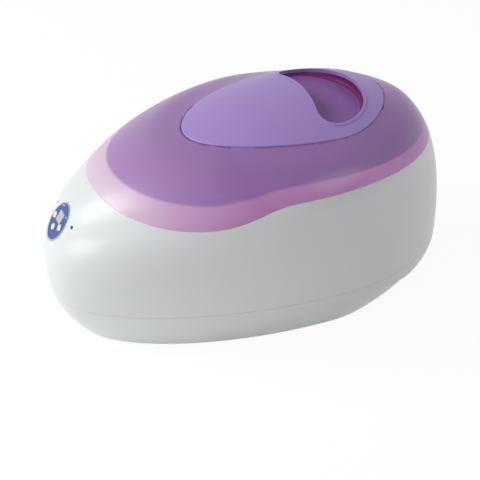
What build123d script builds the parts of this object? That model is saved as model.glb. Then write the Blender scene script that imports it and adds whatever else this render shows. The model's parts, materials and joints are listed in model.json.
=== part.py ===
from build123d import *
from math import cos, radians, sin, sqrt, tan
import os

os.makedirs("parts", exist_ok=True)

# A paraffin bath: an egg-shaped housing with a heated tank under a lift-off dome lid.
# X is across, Y runs from the control panel (-Y) to the mains inlet (+Y), Z is up from the table.

# Clearances, and lengths for tools that cut past what they cut
FIT_GAP = 0.2
CLOSE_GAP = 0.05
RUN_GAP = 0.3
CUT_MARGIN = 1.0
PANEL_CUT_TOP = 4.0
BEYOND = 260.0

# Outer form, as three side curves that the egg-shaped sections follow
UNDERSIDE = 2.0
CROWN_HEIGHT = 201.7
CROWN_Y = 76.8
FRONT_BASE = 167.8
FRONT_SWELL = 194.1
FRONT_SWELL_HEIGHT = 85.2
FRONT_POWER = 1.95
REAR_BASE = 144.0
REAR_SWELL = 194.1
REAR_SWELL_HEIGHT = 43.1
REAR_POWER = 2.61
SIDE_BASE = 88.5
SIDE_SWELL = 114.5
SIDE_SWELL_HEIGHT = 147.3
SIDE_POWER = 1.77
BELLY_POWER = 2.66
WIDEST_LOW = 0.70
WIDEST_HIGH = 0.43
ROUNDNESS = 0.51

# Housing mouldings
HOUSING_WALL = 3.0
FLOOR_THICKNESS = 3.0
SEAM_HEIGHT = 44.4
SEAM_GAP = 0.5
LIP_WALL = 1.6
LIP_HEIGHT = 3.0
LIP_DEPTH = 7.0
PLINTH_STEP = 2.0
PLINTH_STEP_HEIGHT = 20.0

# Lid and the upstand that it fits over
LID_WALL = 2.6
LID_GAP = 0.6
LID_SEAT_GAP = 0.3
UPSTAND_WALL = 2.6
UPSTAND_ROOT = 12.0
UPSTAND_ROOM_BELOW = 4.0
UPSTAND_ROOM_ABOVE = 6.0

# Handle plate on the lid
PLATE_FRONT = 61.0
PLATE_REAR = 128.7
PLATE_HALF_WIDTH = 67.0
PLATE_WIDEST_Y = 56.8
PLATE_THICKNESS = 3.0
PLATE_EDGE_GAP = 0.4
PLATE_SEAT_GAP = 0.1
PLATE_CROWN_Y = 48.5
PLATE_CROWN_HEIGHT = 201.3
PLATE_CROWN_LONG_RADIUS = 296.0
PLATE_CROWN_SIDE_RADIUS = 141.0
CROWN_REACH = 1.2
CROWN_STATIONS = [-90.0, -40.0, 10.0, 60.0, 110.0, 160.0]
BEAD_WIDTH = 2.2
BEAD_RISE = 0.7
PLATE_EDGE_RADIUS = 1.0

# Finger opening in the plate and the recess under it
GRIP_CENTRE_Y = 63.2
GRIP_HALF_WIDTH = 53.8
GRIP_LENGTH = 43.2
GRIP_HORN_RADIUS = 13.9
GRIP_FRONT_BULGE = 3.9
GRIP_REACH = 24.0
GRIP_DEPTH = 17.0
GRIP_WALL = 2.5
GRIP_MARGIN = 1.5
GRIP_FLOOR_RADIUS = 6.0

# Tank, its flange and the shelf that carries it
SHELF_TOP = 150.0
SHELF_THICKNESS = 3.0
TANK_FRONT = 118.0
TANK_REAR = 156.0
TANK_HALF_WIDTH = 95.0
TANK_WIDEST_Y = 22.0
TANK_DEPTH = 98.0
TANK_TAPER = 12.0
TANK_WALL = 1.5
TANK_BOTTOM_RADIUS = 18.0
TANK_RIM_RADIUS = 3.0
FLANGE_WIDTH = 9.0
SEAL_THICKNESS = 0.8
SEAL_INSET = 0.8
SEAL_WIDTH = 2.4
SHELF_GAP = 0.6
TANK_SCREW_LINE = 6.2
TANK_SCREW_COUNT = 8
TANK_SCREW_LENGTH = 6.5

# Grate in the tank
GRATE_THICKNESS = 3.0
GRATE_LEG_HEIGHT = 8.0
GRATE_LEG_RADIUS = 4.0
GRATE_MARGIN = 6.0
GRATE_SLOT_WIDTH = 7.0
GRATE_SLOT_LENGTH = 24.0
GRATE_SLOT_PITCH_X = 31.0
GRATE_SLOT_PITCH_Y = 15.0
GRATE_RIM = 7.0
GRATE_LEG_COUNT = 6

# Heater pack under the tank
HEATER_INSET = 26.0
SPREADER_THICKNESS = 3.0
ELEMENT_RADIUS = 3.25
ELEMENT_HALF_WIDTH = 38.0
ELEMENT_TERMINAL_X = 9.0
ELEMENT_FRONT_Y = -68.0
ELEMENT_REAR_Y = 96.0
ELEMENT_STRAIGHT = 18.0
ELEMENT_FRONT_SPREAD = 42.0
ELEMENT_REAR_SPREAD = 26.0
ELEMENT_OVERSHOOT = 10.0
TERMINAL_RADIUS = 1.6
TERMINAL_LENGTH = 8.0
PAD_THICKNESS = 6.0
SHIELD_THICKNESS = 1.2
SHIELD_MARGIN = 2.0
STUD_RADIUS = 2.0
STUD_X = 20.0
STUD_FRONT_Y = -10.0
STUD_REAR_Y = 66.0
NUT_SIZE = 7.0
NUT_HEIGHT = 3.2
SENSOR_LENGTH = 12.0
SENSOR_WIDTH = 7.0
SENSOR_HEIGHT = 4.0
SENSOR_CORNER = 1.0
SENSOR_Y = 30.0
FUSE_RADIUS = 2.2
FUSE_LENGTH = 14.0
FUSE_X = -14.0

# Control panel on the nose
PANEL_HEIGHT = 120.5
PANEL_TILT = 35.5
PANEL_DEPTH = 2.2
BEZEL_HALF_WIDTH = 15.0
BEZEL_HALF_LENGTH = 18.0
BEZEL_SEAT = 1.2
BEZEL_RISE = 0.4
BEZEL_RIM = 0.9
BEZEL_EDGE_RADIUS = 0.3
BEZEL_LEDGE = 1.2
BEZEL_HOOK_WIDTH = 5.0
BEZEL_HOOK_THICKNESS = 1.2
BEZEL_HOOK_CATCH = 0.8
LABEL_THICKNESS = 0.25
LABEL_SINK = 0.35
PANEL_BLOCK_DEPTH = 9.0
PANEL_BLOCK_TOP = 1.5
PANEL_BLOCK_MARGIN = 2.6

# Display and buttons, placed in the panel's own plane
DISPLAY_X = -1.0
DISPLAY_Y = 3.8
DISPLAY_WIDTH = 10.4
DISPLAY_CORNER = 1.2
DISPLAY_MARGIN = 0.5
WINDOW_THICKNESS = 1.2
BUTTON_RING_X = -0.4
BUTTON_RING_Y = 2.3
BUTTON_RING_RADIUS = 9.5
BUTTON_ANGLES = {"button_left": 189.0, "button_lower": 261.0, "button_right": 333.0}
BUTTON_RADIUS = 3.0
BUTTON_RISE = 0.9
BUTTON_EDGE_RADIUS = 0.5
BUTTON_FLANGE_RADIUS = 3.7
BUTTON_FLANGE_THICKNESS = 0.8
BUTTON_STEM_RADIUS = 1.4
BUTTON_TRAVEL = 0.8
LAMP_X = 21.5
LAMP_HEIGHT = 125.8
LAMP_RADIUS = 1.5

# Control board behind the panel
BOARD_THICKNESS = 1.6
CONTROL_BOARD_DEPTH = 10.4
CONTROL_BOARD_WIDTH = 50.0
CONTROL_BOARD_LENGTH = 32.0
CONTROL_BOARD_CORNER = 4.0
CONTROL_BOSS_X = 17.0
CONTROL_BOSS_Y = 12.5
CONTROL_BOSS_RADIUS = 2.8
SWITCH_BODY = 6.0
SWITCH_HEIGHT = 3.5
SWITCH_PLUNGER_RADIUS = 1.2
SWITCH_PLUNGER_HEIGHT = 1.5
LED_RADIUS = 1.5
LED_HEIGHT = 3.4
SMALL_SCREW_RADIUS = 1.2
SMALL_SCREW_HEAD_RADIUS = 2.4
SMALL_SCREW_HEAD_HEIGHT = 1.6
SMALL_SCREW_LENGTH = 5.0

# Power board on the floor
POWER_BOARD_HEIGHT = 12.0
POWER_BOARD_FRONT_Y = -140.0
POWER_BOARD_REAR_Y = -82.0
POWER_BOARD_HALF_WIDTH = 30.0
POWER_BOARD_CORNER = 2.0
COMPONENT_CORNER = 1.0
TRANSFORMER_PLACE = (-12.0, -112.0)
TRANSFORMER_SIZE = (26.0, 30.0, 22.0)
RELAY_PLACE = (17.0, -108.0)
RELAY_SIZE = (15.0, 19.0, 15.0)
TERMINAL_PLACE = (0.0, -88.0)
TERMINAL_SIZE = (30.0, 9.0, 12.0)
POWER_BOSS_RADIUS = 3.2
POWER_BOSS_MARGIN = 5.0

# Screws that join the two housing mouldings
FRONT_POST_X = 38.0
FRONT_POST_Y = -118.0
REAR_POST_X = 56.0
REAR_POST_Y = 100.0
POST_RADIUS = 4.5
REAR_POST_HEIGHT = 8.0
RIB_THICKNESS = 2.5
RIB_LENGTH = 40.0
WELL_RADIUS = 5.8
WELL_BORE_RADIUS = 3.8
WELL_SEAT_HEIGHT = 36.0
SCREW_RADIUS = 1.45
SCREW_CLEARANCE_RADIUS = 1.8
SCREW_PILOT_RADIUS = 1.5
SCREW_HEAD_RADIUS = 2.9
SCREW_HEAD_HEIGHT = 2.0
SCREW_LENGTH = 14.0

# Screws that hold the handle plate on the lid
LID_SCREW_FRONT_X = 30.0
LID_SCREW_FRONT_Y = -6.0
LID_SCREW_REAR_X = 18.0
LID_SCREW_REAR_Y = 117.0
LID_BOSS_RADIUS = 4.6
LID_BOSS_HEIGHT = 8.0
HANDLE_POST_RADIUS = 2.6
LID_SCREW_HEAD_RADIUS = 3.8

# Feet
FOOT_RADIUS = 8.0
FOOT_RECESS = 1.5
FOOT_STEM_RADIUS = 2.0
FOOT_BARB_HEIGHT = 1.6
FOOT_EDGE_RADIUS = 0.8
FRONT_FOOT_X = 44.0
FRONT_FOOT_Y = -84.0
REAR_FOOT_X = 62.0
REAR_FOOT_Y = 72.0

# Mains inlet at the rear
INLET_HEIGHT = 64.0
INLET_WIDTH = 31.0
INLET_TALL = 24.0
INLET_FLANGE = 2.0
INLET_BODY_WIDTH = 26.6
INLET_BODY_TALL = 19.4
INLET_BODY_DEPTH = 20.0
INLET_BODY_CORNER = 1.0
INLET_CORNER = 5.0
INLET_SOCKET_WIDTH = 23.0
INLET_SOCKET_TALL = 15.4
INLET_SOCKET_DEPTH = 15.0
INLET_POCKET_DEPTH = 2.8
INLET_PAD_MARGIN = 4.0
INLET_CLEARANCE = 1.5
INLET_POCKET_CORNER = 3.0
PIN_THICKNESS = 2.0
PIN_WIDTH = 4.0
PIN_PITCH = 7.0
PIN_LIFT = 2.0
PIN_SETBACK = 1.0
PIN_TAIL = 6.0
INLET_CATCH = 1.2
INLET_CATCH_WIDTH = 8.0
INLET_CATCH_ROOT = 0.5
INLET_CATCH_SLOPE = 4.0

# Cables that lie inside the housing
MAINS_FLEX_RADIUS = 2.6
HEATER_LEAD_RADIUS = 1.2
SENSOR_LEAD_RADIUS = 1.0
DISPLAY_LEAD_RADIUS = 1.6
BEND_SHARE = 0.45

# Lofted sections stand close together where the form turns fastest
SECTION_HEIGHTS = [2, 10, 22, 40, 62, 88, 112, 132, 148, 161, 172, 181, 189, 195]
SECTION_GAP = 2.0
TOP_SECTION = 199.5

# Height of the lid's lower edge along Y
LID_EDGE = [
    (-153, 151.0),
    (-128, 144.0),
    (-93, 140.5),
    (-53, 145.0),
    (-18, 156.0),
    (17, 158.2),
    (67, 156.4),
    (127, 150.7),
    (182, 145.3),
]

# Height of the upstand's top edge along Y
UPSTAND_TOP = [
    (-140, 161.0),
    (-92, 158.0),
    (-43, 163.0),
    (4, 169.0),
    (52, 167.5),
    (122, 162.0),
    (190, 158.0),
]

# Height along Y of the line where the plinth steps in under the housing
PLINTH_EDGE = [
    (-110, -4.0),
    (-69, 8.3),
    (-14, 20.5),
    (39, 31.3),
    (74, 35.0),
    (113, 29.0),
    (165, 20.0),
    (195, 16.0),
]


def reach(height, base, swell, swell_height, power, crown):
    """How far a side curve stands out at a height: a belly below its fullest point, a dome above."""
    if height < swell_height:
        share = (swell_height - height) / (swell_height - UNDERSIDE)
        return swell - (swell - base) * share**BELLY_POWER
    share = (height - swell_height) / (CROWN_HEIGHT - swell_height)
    return crown + (swell - crown) * (1 - share**power) ** (1 / power)


def front_reach(height):
    return reach(height, FRONT_BASE, FRONT_SWELL, FRONT_SWELL_HEIGHT, FRONT_POWER, -CROWN_Y)


def rear_reach(height):
    return reach(height, REAR_BASE, REAR_SWELL, REAR_SWELL_HEIGHT, REAR_POWER, CROWN_Y)


def side_reach(height):
    return reach(height, SIDE_BASE, SIDE_SWELL, SIDE_SWELL_HEIGHT, SIDE_POWER, 0.0)


def inside(curve, height, inset):
    """A side curve moved in so that the wall is `inset` thick, measured square to the surface."""
    slope = curve(height + 0.5) - curve(height - 0.5)
    return curve(height) - inset * sqrt(1 + slope**2)


def egg(height, front, rear, half_width, widest_y):
    """An egg outline of four curves, lying level at a height."""
    nose = (front + widest_y) * ROUNDNESS
    tail = (rear - widest_y) * ROUNDNESS
    side = half_width * ROUNDNESS
    with BuildSketch(Plane.XY.offset(height)) as outline:
        with BuildLine():
            Bezier((0, -front), (side, -front), (half_width, widest_y - nose), (half_width, widest_y))
            Bezier((half_width, widest_y), (half_width, widest_y + tail), (side, rear), (0, rear))
            Bezier((0, rear), (-side, rear), (-half_width, widest_y + tail), (-half_width, widest_y))
            Bezier((-half_width, widest_y), (-half_width, widest_y - nose), (-side, -front), (0, -front))
        make_face()
    return outline.sketch


def body_section(height, inset=0.0):
    """The body's egg section at a height, optionally moved in by a wall."""
    share = (height - UNDERSIDE) / (CROWN_HEIGHT - UNDERSIDE)
    place = WIDEST_LOW + (WIDEST_HIGH - WIDEST_LOW) * share
    widest_y = -front_reach(height) + place * (front_reach(height) + rear_reach(height))
    return egg(
        height,
        inside(front_reach, height, inset),
        inside(rear_reach, height, inset),
        inside(side_reach, height, inset),
        widest_y,
    )


def body_form(inset=0.0, low=UNDERSIDE, high=TOP_SECTION):
    """The body's form between two heights, moved in by a wall."""
    middle = [height for height in SECTION_HEIGHTS if low + SECTION_GAP < height < high - SECTION_GAP]
    with BuildPart() as form:
        loft(sections=[body_section(height, inset) for height in [low, *middle, high]])
    return form.part


def space_above(points, rise=0.0):
    """All the space above a line that is drawn from the side and runs across the whole body."""
    with BuildPart() as space:
        with BuildSketch(Plane.YZ):
            with BuildLine():
                line = Spline(*[(y, z + rise) for y, z in points])
                low_end = (-BEYOND, (line @ 0).Y)
                high_end = (BEYOND, (line @ 1).Y)
                Polyline(line @ 1, high_end, (BEYOND, BEYOND), (-BEYOND, BEYOND), low_end, line @ 0)
            make_face()
        extrude(amount=BEYOND, both=True)
    return space.part


def plinth_form(high):
    """The plinth: it has the body's outline on the underside and steps in evenly towards its top."""
    with BuildPart() as form:
        sections = []
        for height in [UNDERSIDE, *SECTION_HEIGHTS[1:4], high]:
            share = min((height - UNDERSIDE) / PLINTH_STEP_HEIGHT, 1)
            sections.append(body_section(height, PLINTH_STEP * share))
        loft(sections=sections)
    return form.part


def upstand_ring():
    """The band inside the lid's edge: a thick root joined to the wall, and a thin upstand above it."""
    low = min(z for y, z in LID_EDGE) - UPSTAND_ROOT - UPSTAND_ROOM_BELOW
    high = max(z for y, z in UPSTAND_TOP) + UPSTAND_ROOM_ABOVE
    with BuildPart() as root:
        add(body_form(HOUSING_WALL / 2, low, high))
        add(space_above(LID_EDGE), mode=Mode.SUBTRACT)
    with BuildPart() as ring:
        add(body_form(LID_WALL + LID_GAP, low, high))
        add(space_above(UPSTAND_TOP), mode=Mode.SUBTRACT)
        add(root.part)
        add(space_above(LID_EDGE, -UPSTAND_ROOT), mode=Mode.INTERSECT)
        room = body_form(LID_WALL + LID_GAP + UPSTAND_WALL, low - CUT_MARGIN, high + CUT_MARGIN)
        add(room, mode=Mode.SUBTRACT)
    return ring.part


def crown_radius(x):
    """The radius of the plate's crowned surface about its long axis, at a place across it."""
    return PLATE_CROWN_LONG_RADIUS - PLATE_CROWN_SIDE_RADIUS + sqrt(PLATE_CROWN_SIDE_RADIUS**2 - x**2)


def crown_height(x, y):
    """Height of the plate's crowned surface."""
    axis_height = PLATE_CROWN_HEIGHT - PLATE_CROWN_LONG_RADIUS
    return axis_height + sqrt(crown_radius(x) ** 2 - (y - PLATE_CROWN_Y) ** 2)


def crown_form(lower=0.0):
    """A block whose top is the plate's gently crowned surface, lowered by a thickness."""
    half = CROWN_REACH * PLATE_HALF_WIDTH
    with BuildPart() as block:
        sections = []
        for y in CROWN_STATIONS:
            middle = crown_height(0, y) - lower
            edge = crown_height(half, y) - lower
            with BuildSketch(Plane.XZ.offset(-y)) as section:
                with BuildLine():
                    ThreePointArc((-half, edge), (0, middle), (half, edge))
                    Polyline((half, edge), (half, SHELF_TOP - half), (-half, SHELF_TOP - half), (-half, edge))
                make_face()
            sections.append(section.sketch)
        loft(sections=sections)
    return block.part


def column(outline, low, high):
    """An outline drawn at height 0 raised between two heights."""
    with BuildPart() as pillar:
        with BuildSketch(Plane.XY.offset(low)):
            add(outline)
        extrude(amount=high - low)
    return pillar.part


def plate_outline(grow=0.0):
    """The handle plate's outline in plan."""
    return egg(0, PLATE_FRONT + grow, PLATE_REAR + grow, PLATE_HALF_WIDTH + grow, PLATE_WIDEST_Y)


def grip_outline(grow=0.0):
    """The finger opening in plan: a half ellipse behind, two round horns and a bulged front edge."""
    horn_x = GRIP_HALF_WIDTH - GRIP_HORN_RADIUS
    bulge_radius = horn_x**2 / (2 * GRIP_FRONT_BULGE) - GRIP_HORN_RADIUS + GRIP_FRONT_BULGE / 2
    bulge_y = GRIP_CENTRE_Y - GRIP_HORN_RADIUS + GRIP_FRONT_BULGE - bulge_radius
    share = (GRIP_HORN_RADIUS + grow) / (GRIP_HORN_RADIUS + bulge_radius)
    meet_x = horn_x * (1 - share)
    meet_y = GRIP_CENTRE_Y + share * (bulge_y - GRIP_CENTRE_Y)
    half = GRIP_HALF_WIDTH + grow
    horn_low = GRIP_CENTRE_Y - GRIP_HORN_RADIUS - grow
    with BuildSketch() as opening:
        with BuildLine():
            EllipticalCenterArc((0, GRIP_CENTRE_Y), half, GRIP_LENGTH + grow, start_angle=0, arc_size=180)
            ThreePointArc((-half, GRIP_CENTRE_Y), (-horn_x, horn_low), (-meet_x, meet_y))
            ThreePointArc((-meet_x, meet_y), (0, bulge_y + bulge_radius - grow), (meet_x, meet_y))
            ThreePointArc((meet_x, meet_y), (horn_x, horn_low), (half, GRIP_CENTRE_Y))
        make_face()
    return opening.sketch


def recess_outline(grow=0.0):
    """The recess under the plate in plan: the opening's rear curve, carried forward under the plate."""
    rear = GRIP_CENTRE_Y + GRIP_LENGTH + GRIP_MARGIN
    front = GRIP_CENTRE_Y - GRIP_HORN_RADIUS - GRIP_REACH
    half = GRIP_HALF_WIDTH + GRIP_MARGIN
    return egg(0, -front + grow, rear + grow, half + grow, GRIP_CENTRE_Y)


def tank_outline(grow=0.0, height=0.0):
    """The tank's egg outline at its rim, grown or shrunk evenly."""
    return egg(height, TANK_FRONT + grow, TANK_REAR + grow, TANK_HALF_WIDTH + grow, TANK_WIDEST_Y)


def cable(radius, *points):
    """A round cable along straight runs joined by tangent arcs as large as the runs allow."""
    corners = [Vector(point) for point in points]
    radii = []
    for before, here, after in zip(corners, corners[1:], corners[2:]):
        turn = radians((here - before).get_angle(after - here))
        shorter = min((here - before).length, (after - here).length)
        radii.append(BEND_SHARE * shorter / tan(turn / 2))
    with BuildPart() as tube:
        with BuildLine():
            route = FilletPolyline(*corners, radius=radii)
        with BuildSketch(Plane(route @ 0, z_dir=route % 0)):
            Circle(radius)
        sweep()
    print("cable", round(route.length), "mm long, radii", [round(bend, 1) for bend in radii])
    return tube.part


# The control panel's own plane lies PANEL_DEPTH below the nose's surface and is tilted back
panel_lean = radians(PANEL_TILT)
panel_origin = (
    0,
    -front_reach(PANEL_HEIGHT) + PANEL_DEPTH * cos(panel_lean),
    PANEL_HEIGHT - PANEL_DEPTH * sin(panel_lean),
)
panel = Plane(origin=panel_origin, x_dir=(1, 0, 0), z_dir=(0, -cos(panel_lean), sin(panel_lean)))
lamp_y = (LAMP_HEIGHT - panel_origin[2]) / cos(panel_lean)
lamp_places = [(-LAMP_X, lamp_y), (LAMP_X, lamp_y)]
button_places = {
    name: (
        BUTTON_RING_X + BUTTON_RING_RADIUS * cos(radians(angle)),
        BUTTON_RING_Y + BUTTON_RING_RADIUS * sin(radians(angle)),
    )
    for name, angle in BUTTON_ANGLES.items()
}
board_bosses = [
    (side * CONTROL_BOSS_X, end * CONTROL_BOSS_Y) for side in (-1, 1) for end in (-1, 1)
]
board_top = -CONTROL_BOARD_DEPTH
board_under = board_top - BOARD_THICKNESS
switch_top = board_top + SWITCH_HEIGHT + SWITCH_PLUNGER_HEIGHT
button_flange_top = -BEZEL_SEAT - RUN_GAP
button_top = BEZEL_RISE + BUTTON_RISE
button_end = switch_top + BUTTON_TRAVEL + CLOSE_GAP
label_top = BEZEL_RISE - LABEL_SINK + LABEL_THICKNESS
window_under = label_top - WINDOW_THICKNESS

# Levels that follow from the shelf and the tank
flange_under = SHELF_TOP + SEAL_THICKNESS
flange_top = flange_under + TANK_WALL
tank_underside = flange_top - TANK_DEPTH
tank_floor = tank_underside + TANK_WALL
spreader_under = tank_underside - SPREADER_THICKNESS
element_level = spreader_under - ELEMENT_RADIUS
pad_top = element_level - ELEMENT_RADIUS
shield_top = pad_top - PAD_THICKNESS
shield_under = shield_top - SHIELD_THICKNESS
stud_end = shield_under - NUT_HEIGHT - CUT_MARGIN
floor_top = UNDERSIDE + FLOOR_THICKNESS
power_board_top = POWER_BOARD_HEIGHT + BOARD_THICKNESS
power_board_y = (POWER_BOARD_FRONT_Y + POWER_BOARD_REAR_Y) / 2
power_board_length = POWER_BOARD_REAR_Y - POWER_BOARD_FRONT_Y

# Places of screws and feet
front_posts = [(side * FRONT_POST_X, FRONT_POST_Y) for side in (-1, 1)]
rear_posts = [(side * REAR_POST_X, REAR_POST_Y) for side in (-1, 1)]
pilot_top = WELL_SEAT_HEIGHT + SCREW_LENGTH + CUT_MARGIN
foot_places = {
    "foot_front_left": (-FRONT_FOOT_X, FRONT_FOOT_Y),
    "foot_front_right": (FRONT_FOOT_X, FRONT_FOOT_Y),
    "foot_rear_left": (-REAR_FOOT_X, REAR_FOOT_Y),
    "foot_rear_right": (REAR_FOOT_X, REAR_FOOT_Y),
}
tank_screw_line = tank_outline(TANK_SCREW_LINE).wire()
tank_screw_stations = [
    tank_screw_line @ ((turn + 0.5) / TANK_SCREW_COUNT) for turn in range(TANK_SCREW_COUNT)
]
tank_screw_places = [(station.X, station.Y) for station in tank_screw_stations]
stud_places = [(side * STUD_X, y) for side in (-1, 1) for y in (STUD_FRONT_Y, STUD_REAR_Y)]
power_boss_x = POWER_BOARD_HALF_WIDTH - POWER_BOSS_MARGIN
power_boss_y = power_board_length / 2 - POWER_BOSS_MARGIN
power_boss_places = [
    (side * power_boss_x, power_board_y + end * power_boss_y)
    for side in (-1, 1)
    for end in (-1, 1)
]
lid_screw_places = [
    (side * x, y)
    for side in (-1, 1)
    for x, y in ((LID_SCREW_FRONT_X, LID_SCREW_FRONT_Y), (LID_SCREW_REAR_X, LID_SCREW_REAR_Y))
]

# The inlet's plane lies on the floor of its pocket, looking out to the rear
inlet_face = rear_reach(INLET_HEIGHT) - INLET_POCKET_DEPTH
inlet_plane = Plane(origin=(0, inlet_face, INLET_HEIGHT), x_dir=(-1, 0, 0), z_dir=(0, 1, 0))

pin_places = [(0, PIN_LIFT), (PIN_PITCH, -PIN_LIFT), (-PIN_PITCH, -PIN_LIFT)]

# Shared solids
outer_form = body_form()
inner_form = body_form(HOUSING_WALL, floor_top, TOP_SECTION - HOUSING_WALL)


def rods(places, radius, low, high):
    """Upright round solids between two heights."""
    with BuildPart() as pins:
        with BuildSketch(Plane.XY.offset(low)):
            with Locations(*places):
                Circle(radius)
        extrude(amount=high - low)
    return pins.part


def panel_oval(half_width, half_length, low, high):
    """An oval prism standing square to the control panel."""
    with BuildPart() as prism:
        with BuildSketch(panel.offset(low)):
            Ellipse(half_width, half_length)
        extrude(amount=high - low)
    return prism.part


def panel_rods(places, radius, low, high):
    """Round solids standing square to the control panel."""
    with BuildPart() as pins:
        with BuildSketch(panel.offset(low)):
            with Locations(*places):
                Circle(radius)
        extrude(amount=high - low)
    return pins.part


def panel_block(x, y, width, length, low, high, corner=0.0):
    """A block standing square to the control panel."""
    with BuildPart() as block:
        with BuildSketch(panel.offset(low)):
            with Locations((x, y)):
                if corner:
                    RectangleRounded(width, length, corner)
                else:
                    Rectangle(width, length)
        extrude(amount=high - low)
    return block.part


def inlet_block(width, tall, corner, low, high):
    """A block on the inlet's plane with its two upper corners cut off, as on every such inlet."""
    half = width / 2
    top = tall / 2
    with BuildPart() as block:
        with BuildSketch(inlet_plane.offset(low)):
            Polygon(
                (-half, -top),
                (half, -top),
                (half, top - corner),
                (half - corner, top),
                (-half + corner, top),
                (-half, top - corner),
                align=None,
            )
        extrude(amount=high - low)
    return block.part


def plate_top_edges(plate):
    """The four edges around the top of the handle plate."""
    return plate.edges().filter_by(GeomType.BSPLINE).group_by(SortBy.DISTANCE)[-1]


def screw(x, y, seat, radius, head_radius, head_height, length):
    """A screw driven up from below: its head is under the seat."""
    with BuildPart() as fastener:
        add(rods([(x, y)], head_radius, seat - head_height, seat))
        add(rods([(x, y)], radius, seat, seat + length))
    return fastener.part


def save(piece, name):
    """Give a finished piece its name and write it."""
    piece.part.label = name
    export_step(piece.part, f"parts/{name}.step")


# Upper housing: shell with a flat on the nose, upstand, tank shelf, screw posts and inlet pocket
with BuildPart() as inlet_pad:
    with BuildSketch(inlet_plane.offset(-HOUSING_WALL)):
        RectangleRounded(
            INLET_WIDTH + 2 * INLET_PAD_MARGIN, INLET_TALL + 2 * INLET_PAD_MARGIN, INLET_PAD_MARGIN
        )
    extrude(amount=2 * HOUSING_WALL)
    add(outer_form, mode=Mode.INTERSECT)

with BuildPart() as upper_housing:
    add(outer_form)
    split(bisect_by=Plane.XY.offset(SEAM_HEIGHT), keep=Keep.TOP)
    with BuildSketch(panel):
        Rectangle(4 * BEZEL_HALF_WIDTH, 4 * BEZEL_HALF_LENGTH)
    extrude(amount=4 * PANEL_DEPTH, mode=Mode.SUBTRACT)
    add(space_above(LID_EDGE), mode=Mode.SUBTRACT)
    add(inner_form, mode=Mode.SUBTRACT)
    add(upstand_ring())
    add(body_form(LID_WALL + LID_GAP + UPSTAND_WALL / 2, SHELF_TOP - SHELF_THICKNESS, SHELF_TOP))
    add(column(tank_outline(SHELF_GAP), SHELF_TOP - SHELF_THICKNESS, SHELF_TOP), mode=Mode.SUBTRACT)
    add(rods(front_posts, POST_RADIUS, SEAM_HEIGHT, SHELF_TOP - SHELF_THICKNESS / 2))
    add(rods(rear_posts, POST_RADIUS, SEAM_HEIGHT, SEAM_HEIGHT + REAR_POST_HEIGHT))
    for side in (-1, 1):
        with BuildSketch(Plane.XY.offset(SEAM_HEIGHT)):
            with Locations((side * REAR_POST_X, REAR_POST_Y)):
                Rectangle(
                    RIB_LENGTH,
                    RIB_THICKNESS,
                    align=(Align.MIN if side > 0 else Align.MAX, Align.CENTER),
                )
        extrude(amount=REAR_POST_HEIGHT)
    add(rods(front_posts + rear_posts, SCREW_PILOT_RADIUS, SEAM_HEIGHT, pilot_top), mode=Mode.SUBTRACT)
    screw_bore = SMALL_SCREW_RADIUS + CLOSE_GAP
    add(rods(tank_screw_places, screw_bore, SHELF_TOP - SHELF_THICKNESS, SHELF_TOP), mode=Mode.SUBTRACT)
    add(
        panel_oval(
            BEZEL_HALF_WIDTH + PANEL_BLOCK_MARGIN,
            BEZEL_HALF_LENGTH + PANEL_BLOCK_MARGIN,
            -PANEL_BLOCK_DEPTH,
            -PANEL_BLOCK_TOP,
        )
    )
    add(panel_rods(board_bosses, CONTROL_BOSS_RADIUS, board_top, -HOUSING_WALL))
    add(panel_rods(board_bosses, screw_bore, board_top, board_top + SMALL_SCREW_LENGTH), mode=Mode.SUBTRACT)
    add(
        panel_oval(BEZEL_HALF_WIDTH + FIT_GAP, BEZEL_HALF_LENGTH + FIT_GAP, -BEZEL_SEAT, PANEL_CUT_TOP),
        mode=Mode.SUBTRACT,
    )
    add(
        panel_oval(
            BEZEL_HALF_WIDTH - BEZEL_LEDGE, BEZEL_HALF_LENGTH - BEZEL_LEDGE, -PANEL_BLOCK_DEPTH, 0
        ),
        mode=Mode.SUBTRACT,
    )
    lamp_bore = LAMP_RADIUS + FIT_GAP / 2
    add(panel_rods(lamp_places, lamp_bore, board_top + LED_HEIGHT, PANEL_CUT_TOP), mode=Mode.SUBTRACT)
    add(inlet_pad.part)
    with BuildSketch(inlet_plane):
        RectangleRounded(
            INLET_WIDTH + 2 * INLET_CLEARANCE, INLET_TALL + 2 * INLET_CLEARANCE, INLET_POCKET_CORNER
        )
    extrude(amount=2 * INLET_POCKET_DEPTH, mode=Mode.SUBTRACT)
    with BuildSketch(inlet_plane.offset(-2 * HOUSING_WALL)):
        Rectangle(INLET_BODY_WIDTH + 2 * FIT_GAP, INLET_BODY_TALL + 2 * FIT_GAP)
    extrude(amount=3 * HOUSING_WALL, mode=Mode.SUBTRACT)
save(upper_housing, "upper_housing")

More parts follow.
